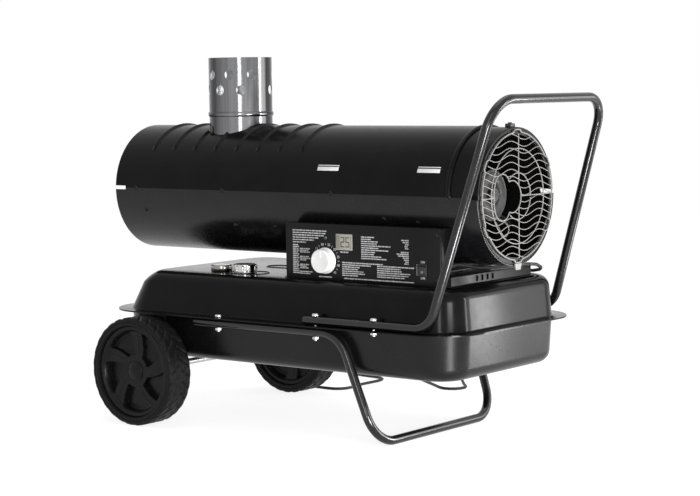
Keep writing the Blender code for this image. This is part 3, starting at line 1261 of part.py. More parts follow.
def make_switch(x, face):
    """A rocker in its frame: it tips about a pin across its middle."""
    half = SWITCH_WIDTH / 2
    tall = SWITCH_TALL / 2
    frame = block("switch_frame", (x - half, face - SWITCH_PROUD, SWITCH_HEIGHT - tall),
                  (x + half, face, SWITCH_HEIGHT + tall), "switch_black")
    body_half = half - SWITCH_RIM / 2 - CLEARANCE
    body_tall = tall - SWITCH_RIM / 2 - CLEARANCE
    body = block("switch_body", (x - body_half, face - SWITCH_PROUD / 2, SWITCH_HEIGHT - body_tall),
                 (x + body_half, face + SWITCH_BODY, SWITCH_HEIGHT + body_tall))
    well_half = half - SWITCH_RIM
    well_tall = tall - SWITCH_RIM
    well = block("switch_well", (x - well_half, face - SWITCH_PROUD - OVERRUN, SWITCH_HEIGHT - well_tall),
                 (x + well_half, face + SWITCH_BODY / 2, SWITCH_HEIGHT + well_tall))
    fuse(frame, body)
    cut(frame, well)
    front = ROCKER_PIVOT_DEPTH + SWITCH_PROUD + ROCKER_PROUD
    reach = well_tall - ROCKER_END_GAP
    shape = [(-front, -reach), (ROCKER_BACK, -reach / 3), (ROCKER_BACK, reach / 3), (-front, reach),
             (-front + ROCKER_PROUD / 2, 0)]
    turn = Matrix.Rotation(ROCKER_TILT, 2)
    outline = [tuple(turn @ Vector(point)) for point in shape]
    rocker = outline_solid("power_rocker", [outline], (well_half - CLEARANCE) * 2, "switch_black")
    rocker.matrix_world = Matrix.Translation((x, face + ROCKER_PIVOT_DEPTH, SWITCH_HEIGHT)) @ ACROSS


# The cord's route: out of the box end, under the barrel, over the far rail and onto the floor.
# Points are (along the barrel from its outlet end, y, z).
CORD_FLOOR = CORD_DIAMETER / 2 + CLEARANCE / 3
CORD_ROUTE = [
    (0.7660, -0.0700, 0.3120),
    (0.7680, -0.0480, 0.3080),
    (0.7740, -0.0220, 0.3025),
    (0.7810, 0.0050, 0.3012),
    (0.7890, 0.0350, 0.3012),
    (0.7960, 0.0680, 0.3012),
    (0.8020, 0.0950, 0.3012),
    (0.8050, 0.1150, 0.2990),
    (0.8020, 0.1340, 0.2925),
    (0.7910, 0.1470, 0.2865),
    (0.7740, 0.1530, 0.2832),
    (0.7450, 0.1540, 0.2823),
    (0.6500, 0.1500, 0.2823),
    (0.5550, 0.1500, 0.2823),
    (0.5250, 0.1530, 0.2826),
    (0.5000, 0.1610, 0.2818),
    (0.4780, 0.1720, 0.2760),
    (0.4570, 0.1830, 0.2600),
    (0.4380, 0.1890, 0.2390),
    (0.4170, 0.1945, 0.2205),
    (0.3920, 0.2010, 0.2118),
    (0.3660, 0.2042, 0.2097),
    (0.3000, 0.2042, 0.2097),
    (0.2400, 0.2050, 0.2098),
    (0.2100, 0.2090, 0.2110),
    (0.1880, 0.2200, 0.2130),
    (0.1700, 0.2360, 0.2120),
    (0.1560, 0.2520, 0.2030),
    (0.1470, 0.2640, 0.1850),
    (0.1400, 0.2700, 0.1500),
    (0.1330, 0.2740, 0.0950),
    (0.1300, 0.2790, 0.0560),
    (0.1300, 0.2800, 0.0331),
    (0.1339, 0.2792, 0.0181),
    (0.1447, 0.2770, 0.0071),
    (0.1594, 0.2740, 0.0031),
    (0.1780, 0.2711, 0.0031),
    (0.1950, 0.2702, 0.0031),
    (0.2081, 0.2701, 0.0031),
    (0.2199, 0.2717, 0.0031),
    (0.2299, 0.2781, 0.0031),
    (0.2363, 0.2881, 0.0031),
    (0.2377, 0.3013, 0.0031),
    (0.2360, 0.3160, 0.0031),
    (0.2310, 0.3500, 0.0031),
    (0.2330, 0.4020, 0.0031),
    (0.2250, 0.4280, 0.0031),
    (0.2000, 0.4410, 0.0031),
    (0.1600, 0.4450, 0.0031),
    (0.1240, 0.4550, 0.0031),
    (0.1020, 0.4800, 0.0031),
    (0.1060, 0.5130, 0.0031),
    (0.1350, 0.5330, 0.0031),
    (0.1850, 0.5320, 0.0031),
    (0.2450, 0.5040, 0.0031),
    (0.3210, 0.4510, 0.0031),
    (0.3670, 0.4190, 0.0031),
    (0.3800, 0.4095, 0.0031),
    (0.3920, 0.4016, 0.0031),
    (0.4036, 0.3970, 0.0031),
    (0.4162, 0.3982, 0.0031),
    (0.4268, 0.4049, 0.0031),
    (0.4332, 0.4158, 0.0031),
    (0.4340, 0.4284, 0.0031),
    (0.4281, 0.4411, 0.0031),
    (0.4195, 0.4515, 0.0031),
    (0.4060, 0.4665, 0.0031),
    (0.3880, 0.4860, 0.0072),
    (0.3710, 0.5040, 0.0140),
    (0.3570, 0.5200, 0.0172),
    (0.3480, 0.5330, 0.0174),
]


def smooth_route(points, spacing):
    """A smooth curve through the route's points, with more steps on its long spans."""
    points = [Vector(point) for point in points]
    ends = [points[0] * 2 - points[1]] + points + [points[-1] * 2 - points[-2]]
    out = []
    for before, start, end, after in zip(ends, ends[1:], ends[2:], ends[3:]):
        bend = (start - before).angle(end - start, 0) + (end - start).angle(after - end, 0)
        steps = 2 if (end - start).length > spacing and bend > BEND_LIMIT else 1
        for step in range(steps):
            t = step / steps
            place = 0.5 * (start * 2 + (end - before) * t
                           + (before * 2 - start * 5 + end * 4 - after) * t ** 2
                           + (start * 3 - before - end * 3 + after) * t ** 3)
            place.z = max(place.z, CORD_FLOOR)
            out.append(place)
    out.append(points[-1])
    return out


def make_cord():
    """The strain relief on the back of the box, the cord and its plug on the floor."""
    back = -BOX_FRONT + BOX_DEPTH + CLEARANCE
    x = OUTLET_X + RELIEF_ALONG
    profile = [(0, RELIEF_LENGTH), (RELIEF_NOSE, RELIEF_LENGTH), (RELIEF_RADIUS, 0), (RELIEF_NOSE, 0),
               (RELIEF_NOSE, -BOX_WALL * 3), (0, -BOX_WALL * 3)]
    turned("strain_relief", profile, "cord_rubber", (x, back, RELIEF_HEIGHT), TOWARDS_FAR, SMALL_ROUND)
    exit_point = (RELIEF_ALONG, back + RELIEF_LENGTH + CLEARANCE, RELIEF_HEIGHT)
    route = [Vector((OUTLET_X + along, y, z)) for along, y, z in [exit_point] + CORD_ROUTE]
    points = smooth_route(route, CORD_DIAMETER * 3)
    tube("power_cord", points, CORD_DIAMETER / 2, "cord_rubber", 1)
    print("cord points", len(points), "length", sum((b - a).length for a, b in zip(points, points[1:])))

    heading = (route[-1] - route[-2]).normalized()
    place = route[-1] + heading * CLEARANCE
    profile = [(0, 0), (CORD_DIAMETER / 2, 0), (PLUG_RADIUS * 0.6, -PLUG_NECK),
               (PLUG_RADIUS, -PLUG_NECK - PLUG_LENGTH / 3), (PLUG_RADIUS, -PLUG_NECK - PLUG_LENGTH),
               (0, -PLUG_NECK - PLUG_LENGTH)]
    plug = turned("plug", profile, "cord_rubber", place, steps=SMALL_ROUND)
    plug.rotation_mode = "QUATERNION"
    plug.rotation_quaternion = Vector((0, 0, -1)).rotation_difference(heading)
    side = heading.cross(Vector((0, 0, 1))).normalized()
    for word, offset in (("a", -0.5), ("b", 0.5)):
        start = place + heading * (PLUG_NECK + PLUG_LENGTH - OVERRUN) + side * offset * PIN_SPACING
        pin = rod("plug_pin_" + word, start, start + heading * (PIN_LENGTH + OVERRUN), PIN_RADIUS,
                  segments=TINY_ROUND)
        fuse(plug, pin)


def build():
    flue_hole = make_casing()
    make_shroud()
    make_inside(flue_hole)
    make_motor()
    make_fan()
    make_guard()
    make_flue()
    make_tank()
    make_filler()
    make_gauge()
    make_tubes()
    make_bolts()
    for side in (-1, 1):
        make_wheel(side)
    make_axle()
    make_control_box()
    make_panel()
    make_cord()


build()
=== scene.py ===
"""Looks of an indirect fired heater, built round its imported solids.

Metres, +Z up, in the solids' own frame: the barrel lies along X, its outlet at -X and its fan at +X,
and the control box is on the -Y side. "Along" is a distance from the outlet end of the barrel.
"""

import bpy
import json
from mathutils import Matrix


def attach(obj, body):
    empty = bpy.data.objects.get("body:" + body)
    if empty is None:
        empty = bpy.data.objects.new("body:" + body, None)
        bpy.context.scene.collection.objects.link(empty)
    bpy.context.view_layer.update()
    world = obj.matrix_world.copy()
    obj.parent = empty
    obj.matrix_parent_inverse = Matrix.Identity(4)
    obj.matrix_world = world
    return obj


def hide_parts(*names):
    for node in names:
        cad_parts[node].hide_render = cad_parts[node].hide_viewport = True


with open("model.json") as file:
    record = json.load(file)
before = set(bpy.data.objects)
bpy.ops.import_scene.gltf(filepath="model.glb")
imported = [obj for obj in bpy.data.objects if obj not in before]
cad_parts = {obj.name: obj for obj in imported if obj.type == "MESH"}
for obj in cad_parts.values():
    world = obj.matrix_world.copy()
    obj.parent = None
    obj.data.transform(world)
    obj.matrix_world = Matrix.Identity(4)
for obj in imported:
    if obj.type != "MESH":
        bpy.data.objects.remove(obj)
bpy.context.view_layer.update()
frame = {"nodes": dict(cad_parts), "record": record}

import json
import math
import bmesh
import bpy
from mathutils import Matrix, Vector, noise

# The solids' sizes
CLEARANCE = 0.0003
SHEET = 0.0012
BARREL_LENGTH = 0.838
BARREL_RADIUS = 0.1195
BARREL_HEIGHT = 0.427
SEAM_RISE = 0.0026
END_SLOT_LENGTH = 0.026
END_SLOT_HEIGHT = 0.007
COVER_LENGTH = 0.783
COVER_BEAD_HEIGHT = 0.003
COVER_BEAD_WIDTH = 0.009
RIB_COUNT = 8
RIB_PITCH = 0.052
RIB_WIDTH = 0.010
RIB_HEIGHT = 0.0038
LAST_RIB_ALONG = 0.442
RIB_END_ANGLE = math.radians(38)
SHROUD_LENGTH = 0.195
SHROUD_LIP = 0.013
GUARD_RADIUS = 0.1105
GUARD_DEPTH = 0.005
GUARD_RIM = 0.005
GUARD_MID_RADIUS = 0.0815
GUARD_HUB_RADIUS = 0.0415
GUARD_BAND = 0.0036
GUARD_BAR = 0.0026
GUARD_PITCH = 0.0119
GUARD_WAVE = 0.088
GUARD_SWING = 0.0050
GUARD_CREST_Y = -0.022
GUARD_LOBE_HALF_WIDTH = 0.024
GUARD_LOBE_HALF_HEIGHT = 0.0375
GUARD_LOBE_OFFSET = 0.048
GUARD_EYE_RADIUS = 0.0255
GUARD_EYE_OFFSET = 0.0175
GUARD_UPRIGHT_Y = 0.003
GUARD_TABS = 6
GUARD_TAB_WIDTH = 0.016
GUARD_TAB_REACH = 0.0045
FLUE_RADIUS = 0.060
FLUE_ALONG = 0.219
FLUE_TOP = 0.674
FLUE_WALL = 0.0012
FLUE_BEAD_HEIGHT = 0.568
FLUE_BEAD = 0.0022
FLUE_BEAD_WIDTH = 0.009
FLUE_HOLE_RADIUS = 0.0095
FLUE_UPPER_HOLES = 0.642
FLUE_LOWER_HOLES = 0.613
FLUE_HOLES = 8
FLUE_HOLE_STEP = math.radians(41.6)
FLUE_UPPER_START = math.radians(41)
FLUE_LOWER_START = math.radians(21)
FLUE_SOCKET = 0.020
DRUM_RADIUS = 0.080
TANK_START = 0.035
TANK_LENGTH = 0.815
TANK_HALF_WIDTH = 0.207
FLANGE_HEIGHT = 0.205
FLANGE_MARGIN = 0.0265
FLANGE_CORNER = 0.090
TANK_TOP = 0.279
TANK_BOTTOM = 0.122
TANK_EDGE = 0.022
TANK_DRAFT = 0.004
TUBE_RADIUS = 0.008
HANDLE_START = 0.526
HANDLE_HEEL = 0.790
HANDLE_REACH = 0.071
HANDLE_HEIGHT = 0.5935
HANDLE_TOP_HALF = 0.173
HANDLE_HEEL_BEND = 0.042
HANDLE_TOP_BEND = 0.055
FOOT_START = 0.270
FOOT_KNEE = 0.601
FOOT_TOE = 0.667
FOOT_TOE_HALF = 0.179
FOOT_BEND = 0.055
WHEEL_RADIUS = 0.100
WHEEL_WIDTH = 0.056
WHEEL_ALONG = 0.157
WHEEL_TRACK_HALF = 0.222
RIM_RADIUS = 0.084
RIM_WIDTH = 0.046
AXLE_RADIUS = 0.006
BOX_START = 0.443
BOX_LENGTH = 0.335
BOX_FRONT = 0.140
BOX_TOP = 0.378
BOX_DEPTH = 0.030
PANEL_THICKNESS = 0.0015
KNOB_ALONG = 0.533
KNOB_HEIGHT = 0.314
KNOB_RADIUS = 0.023
CORD_DIAMETER = 0.006
RELIEF_LENGTH = 0.024
RELIEF_ALONG = 0.766
RELIEF_HEIGHT = 0.312

OUTLET_X = -(BARREL_LENGTH + HANDLE_REACH + TUBE_RADIUS) / 2
INLET_X = OUTLET_X + BARREL_LENGTH
SEAM_ANGLE = math.asin(SEAM_RISE / BARREL_RADIUS)
FLUE_X = OUTLET_X + FLUE_ALONG
WHEEL_X = OUTLET_X + WHEEL_ALONG
FLANGE_TOP = FLANGE_HEIGHT + CLEARANCE / 2 + SHEET
FLANGE_UNDER = FLANGE_HEIGHT - CLEARANCE / 2 - SHEET
RAIL_Y = TANK_HALF_WIDTH - FLANGE_MARGIN / 2
PANEL_FACE = -BOX_FRONT - CLEARANCE - PANEL_THICKNESS

# Camera, at the photograph's place
CAMERA_PLACE = Vector((2.1253, -2.7072, 0.6203))
CAMERA_AHEAD = Vector((-0.6119, 0.7862, -0.0864))
CAMERA_ROLL = math.radians(-0.8)
CAMERA_SENSOR = 36
CAMERA_LENS = 96.9


def make_camera():
    data = bpy.data.cameras.new("camera")
    data.sensor_width = CAMERA_SENSOR
    data.lens = CAMERA_LENS
    data.clip_end = 100
    camera = bpy.data.objects.new("camera", data)
    bpy.context.scene.collection.objects.link(camera)
    ahead = CAMERA_AHEAD.normalized()
    right = ahead.cross(Vector((0, 0, 1))).normalized()
    up = right.cross(ahead)
    turned_right = right * math.cos(CAMERA_ROLL) + up * math.sin(CAMERA_ROLL)
    turned_up = up * math.cos(CAMERA_ROLL) - right * math.sin(CAMERA_ROLL)
    turn = Matrix((turned_right, turned_up, -ahead)).transposed().to_4x4()
    camera.matrix_world = Matrix.Translation(CAMERA_PLACE) @ turn
    bpy.context.scene.camera = camera


# Light: a white surround, and soft boxes behind on the right, above and in front on the right
SURROUND_LIGHT = 0.40
LAMPS = [
    ("lamp_back_right", (1.70, 1.66, 0.50), (0.4, -0.1, 0.20), (1.0, 0.9), 10),
    ("lamp_right", (2.49, 1.30, 0.52), (0.35, -0.12, 0.15), (0.3, 1.0), 20),
    ("lamp_front", (2.15, -3.15, 0.62), (0.3, -0.15, 0.30), (0.45, 1.2), 24),
    ("lamp_above", (0.2, 0.1, 2.6), (0, 0, 0.4), (2.2, 1.6), 14),
    ("lamp_front_right", (2.6, -3.4, 2.4), (0, 0, 0.35), (1.2, 2.0), 18),
    ("lamp_corner", (1.44, -0.65, 0.19), (0.36, -0.15, 0.20), (0.35, 0.28), 11),
    ("lamp_end", (1.18, 1.02, 0.20), (0.361, -0.10, 0.20), (0.10, 0.36), 3),
    ("lamp_low_corner", (0.876, -0.400, 0.065), (0.3465, -0.1557, 0.16), (0.16, 0.12), 3.2),
    ("lamp_low_end", (0.745, 0.42, 0.065), (0.361, -0.10, 0.16), (0.10, 0.12), 0.9),
    ("lamp_low_back", (0.745, 0.630, 0.065), (0.361, 0.05, 0.16), (0.40, 0.12), 0.25),
]


def new_object(name, data):
    item = bpy.data.objects.new(name, data)
    bpy.context.scene.collection.objects.link(item)
    return item


def make_light():
    scene = bpy.context.scene
    scene.view_settings.view_transform = "Standard"
    world = bpy.data.worlds.new("surround")
    scene.world = world
    world.use_nodes = True
    nodes = world.node_tree.nodes
    links = world.node_tree.links
    nodes.clear()
    seen = nodes.new("ShaderNodeBackground")
    seen.inputs["Color"].default_value = (1, 1, 1, 1)
    seen.inputs["Strength"].default_value = 1
    lit = nodes.new("ShaderNodeBackground")
    lit.inputs["Color"].default_value = (1, 1, 1, 1)
    lit.inputs["Strength"].default_value = SURROUND_LIGHT
    flag = straight_ray(nodes, links)
    mix = nodes.new("ShaderNodeMixShader")
    out = nodes.new("ShaderNodeOutputWorld")
    links.new(flag, mix.inputs[0])
    links.new(lit.outputs[0], mix.inputs[1])
    links.new(seen.outputs[0], mix.inputs[2])
    links.new(mix.outputs[0], out.inputs[0])
    for name, place, target, size, power in LAMPS:
        data = bpy.data.lights.new(name, "AREA")
        data.shape = "RECTANGLE"
        data.size, data.size_y = size
        data.energy = power
        lamp = new_object(name, data)
        lamp.location = place
        lamp.visible_camera = False
        lamp.rotation_euler = (Vector(target) - Vector(place)).to_track_quat("-Z", "Y").to_euler()


def straight_ray(nodes, links):
    """1 for what the camera sees, straight or in metal and glass."""
    path = nodes.new("ShaderNodeLightPath")
    first = nodes.new("ShaderNodeMath")
    first.operation = "MAXIMUM"
    links.new(path.outputs["Is Camera Ray"], first.inputs[0])
    links.new(path.outputs["Is Glossy Ray"], first.inputs[1])
    second = nodes.new("ShaderNodeMath")
    second.operation = "MAXIMUM"
    links.new(first.outputs[0], second.inputs[0])
    links.new(path.outputs["Is Transmission Ray"], second.inputs[1])
    return second.outputs[0]


FLOOR_REACH = 30
FLOOR_SHADE = 0.80
FLOOR_SEEN_SHADE = 0.40
FLOOR_GLOW = 1 - FLOOR_SEEN_SHADE * SURROUND_LIGHT


def make_floor():
    mesh = bpy.data.meshes.new("floor")
    mesh.from_pydata([(-FLOOR_REACH, -FLOOR_REACH, 0), (FLOOR_REACH, -FLOOR_REACH, 0),
                      (FLOOR_REACH, FLOOR_REACH, 0), (-FLOOR_REACH, FLOOR_REACH, 0)], [], [(0, 1, 2, 3)])
    floor = new_object("floor", mesh)
    floor.location.z = -CLEARANCE
    made = bpy.data.materials.new("floor")
    made.use_nodes = True
    nodes = made.node_tree.nodes
    links = made.node_tree.links
    nodes.clear()
    plain = nodes.new("ShaderNodeBsdfDiffuse")
    plain.inputs["Color"].default_value = (FLOOR_SHADE, FLOOR_SHADE, FLOOR_SHADE, 1)
    seen = nodes.new("ShaderNodeBsdfDiffuse")
    seen.inputs["Color"].default_value = (FLOOR_SEEN_SHADE, FLOOR_SEEN_SHADE, FLOOR_SEEN_SHADE, 1)
    glow = nodes.new("ShaderNodeEmission")
    glow.inputs["Strength"].default_value = FLOOR_GLOW
    both = nodes.new("ShaderNodeAddShader")
    links.new(seen.outputs[0], both.inputs[0])
    links.new(glow.outputs[0], both.inputs[1])
    mix = nodes.new("ShaderNodeMixShader")
    links.new(straight_ray(nodes, links), mix.inputs[0])
    links.new(plain.outputs[0], mix.inputs[1])
    links.new(both.outputs[0], mix.inputs[2])
    out = nodes.new("ShaderNodeOutputMaterial")
    links.new(mix.outputs[0], out.inputs[0])
    mesh.materials.append(made)


# Materials: colour, roughness, metal, specular level, (spot size, colour and roughness change), (grain, bump)
FINISHES = {
    "black_paint": ((0.0042, 0.0042, 0.0045), 0.24, 0, 0.080, (0.05, 0.25, 0.03), (0.0011, 0.008)),
    # shell_paint: a lighter, glossier copy of black_paint for the barrel's lower half, a painted sheen
    "shell_paint": ((0.0055, 0.0055, 0.0062), 0.26, 0, 0.27, (0.05, 0.25, 0.03), (0.0011, 0.008)),
    "tank_paint": ((0.0036, 0.0036, 0.0038), 0.16, 0, 0.09, (0.05, 0.25, 0.02), (0.0011, 0.005)),
    # tank_low_paint: a lighter, glossier copy of tank_paint for the tank's lower half, a painted sheen
    "tank_low_paint": ((0.0050, 0.0048, 0.0052), 0.26, 0, 0.22, (0.05, 0.25, 0.02), (0.0011, 0.005)),
    "gloss_tube": ((0.0045, 0.0045, 0.0050), 0.13, 0, 0.42, (0.04, 0.25, 0.05), (0.0016, 0.02)),
    # stainless: colour kept far below bare steel and strongly banded, as painted dark and bright reflections as well as
    # polish marks
    "stainless": ((0.215, 0.215, 0.224), 0.15, 1, 0.5, (0.030, 0.60, 0.05), (0.002, 0.01)),
    "grey_plastic": ((0.185, 0.18, 0.17), 0.42, 0, 0.5, (0.02, 0.10, 0.08), (0.0008, 0.05)),
    "galvanised": ((0.45, 0.46, 0.47), 0.38, 1, 0.5, (0.012, 0.22, 0.12), (0.004, 0.03)),
    "hot_steel": ((0.10, 0.09, 0.085), 0.55, 1, 0.5, (0.03, 0.40, 0.15), (0.003, 0.06)),
    "motor_paint": ((0.0075, 0.0073, 0.0066), 0.34, 0, 0.2, (0.03, 0.20, 0.08), (0.0012, 0.05)),
    "cast_aluminium": ((0.36, 0.36, 0.37), 0.45, 1, 0.5, (0.02, 0.15, 0.10), (0.001, 0.12)),
    "panel_black": ((0.0060, 0.0060, 0.0066), 0.36, 0, 0.13, (0.03, 0.15, 0.06), (0.0006, 0.03)),
    "white_plastic": ((0.84, 0.84, 0.83), 0.35, 0, 0.4, (0.02, 0.03, 0.05), (0.0008, 0.03)),
    "switch_black": ((0.014, 0.014, 0.015), 0.32, 0, 0.4, (0.01, 0.15, 0.06), (0.0005, 0.05)),
    "display_grey": ((0.36, 0.345, 0.30), 0.25, 0, 0.5, (0.01, 0.08, 0.04), (0.0004, 0.01)),
    "lamp_green": ((0.01, 0.10, 0.045), 0.18, 0, 0.5, (0.004, 0.15, 0.04), (0.0004, 0.01)),
    "chrome": ((0.55, 0.54, 0.52), 0.06, 1, 0.5, (0.02, 0.04, 0.03), (0.001, 0.008)),
    "worn_chrome": ((0.30, 0.285, 0.26), 0.20, 1, 0.5, (0.006, 0.35, 0.08), (0.001, 0.02)),
    "gauge_red": ((0.55, 0.03, 0.02), 0.42, 0, 0.4, (0.005, 0.10, 0.05), (0.0004, 0.02)),
    "zinc": ((0.55, 0.55, 0.56), 0.30, 1, 0.5, (0.006, 0.15, 0.12), (0.0008, 0.05)),
    "tyre_rubber": ((0.0060, 0.0060, 0.0064), 0.50, 0, 0.12, (0.02, 0.30, 0.10), (0.0009, 0.22)),
    "rim_plastic": ((0.0055, 0.0055, 0.0060), 0.30, 0, 0.14, (0.02, 0.25, 0.08), (0.0007, 0.10)),
    "seal_rubber": ((0.014, 0.014, 0.014), 0.80, 0, 0.3, (0.01, 0.20, 0.08), (0.0006, 0.15)),
    "cord_rubber": ((0.014, 0.014, 0.015), 0.52, 0, 0.3, (0.02, 0.20, 0.08), (0.0008, 0.08)),
    "print_white": ((0.50, 0.50, 0.50), 0.50, 0, 0.3, (0.006, 0.25, 0.05), (0.0006, 0.02)),
    "dial_white": ((0.74, 0.74, 0.72), 0.50, 0, 0.3, (0.006, 0.05, 0.05), (0.0006, 0.02)),
    "display_ink": ((0.075, 0.070, 0.060), 0.40, 0, 0.3, (0.006, 0.20, 0.05), (0.0006, 0.02)),
}
# Noise runs along the sheet's own direction where it was drawn or polished; on the stainless flue its strong long
# colour bands are also painted reflection bands
POLISH_AND_REFLECTION_STREAKS = {"stainless": (1, 1, 0.02)}
# Painted shade: how much of its colour a finish keeps where its surface turns away from the view, so its edges are
# painted darker
PAINTED_EDGE_SHADE = {"stainless": 0.22}
FINISH = {}


def make_finish(name, color, roughness, metal, specular, spots, grain):
    """A procedural finish: soft spots change its colour and roughness, and a fine grain its surface; some finishes also
    get painted shade where they turn away from the view.
    """
    made = bpy.data.materials.new(name)
    made.use_nodes = True
    nodes = made.node_tree.nodes
    links = made.node_tree.links
    shader = nodes["Principled BSDF"]
    shader.inputs["Metallic"].default_value = metal
    shader.inputs["Specular IOR Level"].default_value = specular
    place = nodes.new("ShaderNodeTexCoord")
    # The stretch draws long streaks; on stainless they are partly polish marks and partly painted reflection bands
    stretch = nodes.new("ShaderNodeVectorMath")
    stretch.operation = "MULTIPLY"
    stretch.inputs[1].default_value = POLISH_AND_REFLECTION_STREAKS.get(name, (1, 1, 1))
    links.new(place.outputs["Object"], stretch.inputs[0])
    spot_size, colour_change, roughness_change = spots
    cloud = nodes.new("ShaderNodeTexNoise")
    cloud.inputs["Scale"].default_value = 1 / spot_size
    cloud.inputs["Detail"].default_value = 5
    cloud.inputs["Roughness"].default_value = 0.6
    links.new(stretch.outputs["Vector"], cloud.inputs["Vector"])
    tone = nodes.new("ShaderNodeMapRange")
    tone.inputs["From Min"].default_value = 0.3
    tone.inputs["From Max"].default_value = 0.7
    links.new(cloud.outputs["Fac"], tone.inputs["Value"])
    mix = nodes.new("ShaderNodeMix")
    mix.data_type = "RGBA"
    mix.inputs["A"].default_value = (*[c * (1 - colour_change) for c in color], 1)
    mix.inputs["B"].default_value = (*[min(1, c * (1 + colour_change)) for c in color], 1)
    links.new(tone.outputs["Result"], mix.inputs["Factor"])
    tint = mix.outputs["Result"]
    # Painted shade: the colour is scaled down where the surface turns away from the view, darkening its edges
    if name in PAINTED_EDGE_SHADE:
        facing = nodes.new("ShaderNodeLayerWeight")
        facing.inputs["Blend"].default_value = 0.5
        edge_shade_keep = nodes.new("ShaderNodeMapRange")
        edge_shade_keep.inputs["From Max"].default_value = 0.42
        edge_shade_keep.inputs["To Min"].default_value = 1
        edge_shade_keep.inputs["To Max"].default_value = PAINTED_EDGE_SHADE[name]
        links.new(facing.outputs["Facing"], edge_shade_keep.inputs["Value"])
        painted_shade = nodes.new("ShaderNodeVectorMath")
        painted_shade.operation = "SCALE"
        links.new(tint, painted_shade.inputs[0])
        links.new(edge_shade_keep.outputs["Result"], painted_shade.inputs["Scale"])
        tint = painted_shade.outputs["Vector"]
    links.new(tint, shader.inputs["Base Color"])
    rough = nodes.new("ShaderNodeMapRange")
    rough.inputs["From Min"].default_value = 0.3
    rough.inputs["From Max"].default_value = 0.7
    rough.inputs["To Min"].default_value = max(0.02, roughness - roughness_change)
    rough.inputs["To Max"].default_value = roughness + roughness_change
    fine = nodes.new("ShaderNodeTexNoise")
    fine.inputs["Scale"].default_value = 4 / spot_size
    fine.inputs["Detail"].default_value = 3
    links.new(stretch.outputs["Vector"], fine.inputs["Vector"])
    links.new(fine.outputs["Fac"], rough.inputs["Value"])
    links.new(rough.outputs["Result"], shader.inputs["Roughness"])
    grain_size, strength = grain
    dust = nodes.new("ShaderNodeTexNoise")
    dust.inputs["Scale"].default_value = 1 / grain_size
    dust.inputs["Detail"].default_value = 2
    links.new(place.outputs["Object"], dust.inputs["Vector"])
    bump = nodes.new("ShaderNodeBump")
    bump.inputs["Strength"].default_value = strength
    bump.inputs["Distance"].default_value = grain_size
    links.new(dust.outputs["Fac"], bump.inputs["Height"])
    links.new(bump.outputs["Normal"], shader.inputs["Normal"])
    return made


def make_glass():
    made = bpy.data.materials.new("clear_glass")
    made.use_nodes = True
    nodes = made.node_tree.nodes
    shader = nodes["Principled BSDF"]
    shader.inputs["Base Color"].default_value = (0.95, 0.97, 0.97, 1)
    shader.inputs["Transmission Weight"].default_value = 1
    place = nodes.new("ShaderNodeTexCoord")
    cloud = nodes.new("ShaderNodeTexNoise")
    cloud.inputs["Scale"].default_value = 200
    rough = nodes.new("ShaderNodeMapRange")
    rough.inputs["To Min"].default_value = 0.01
    rough.inputs["To Max"].default_value = 0.08
    links = made.node_tree.links
    links.new(place.outputs["Object"], cloud.inputs["Vector"])
    links.new(cloud.outputs["Fac"], rough.inputs["Value"])
    links.new(rough.outputs["Result"], shader.inputs["Roughness"])
    return made


def make_finishes():
    for name, values in FINISHES.items():
        FINISH[name] = make_finish(name, *values)
    FINISH["clear_glass"] = make_glass()
    slots = {part["node"]: part["material_slot"] for part in frame["record"]["subparts"]}
    for node, item in frame["nodes"].items():
        item.data.materials.clear()
        item.data.materials.append(FINISH[slots[node]])


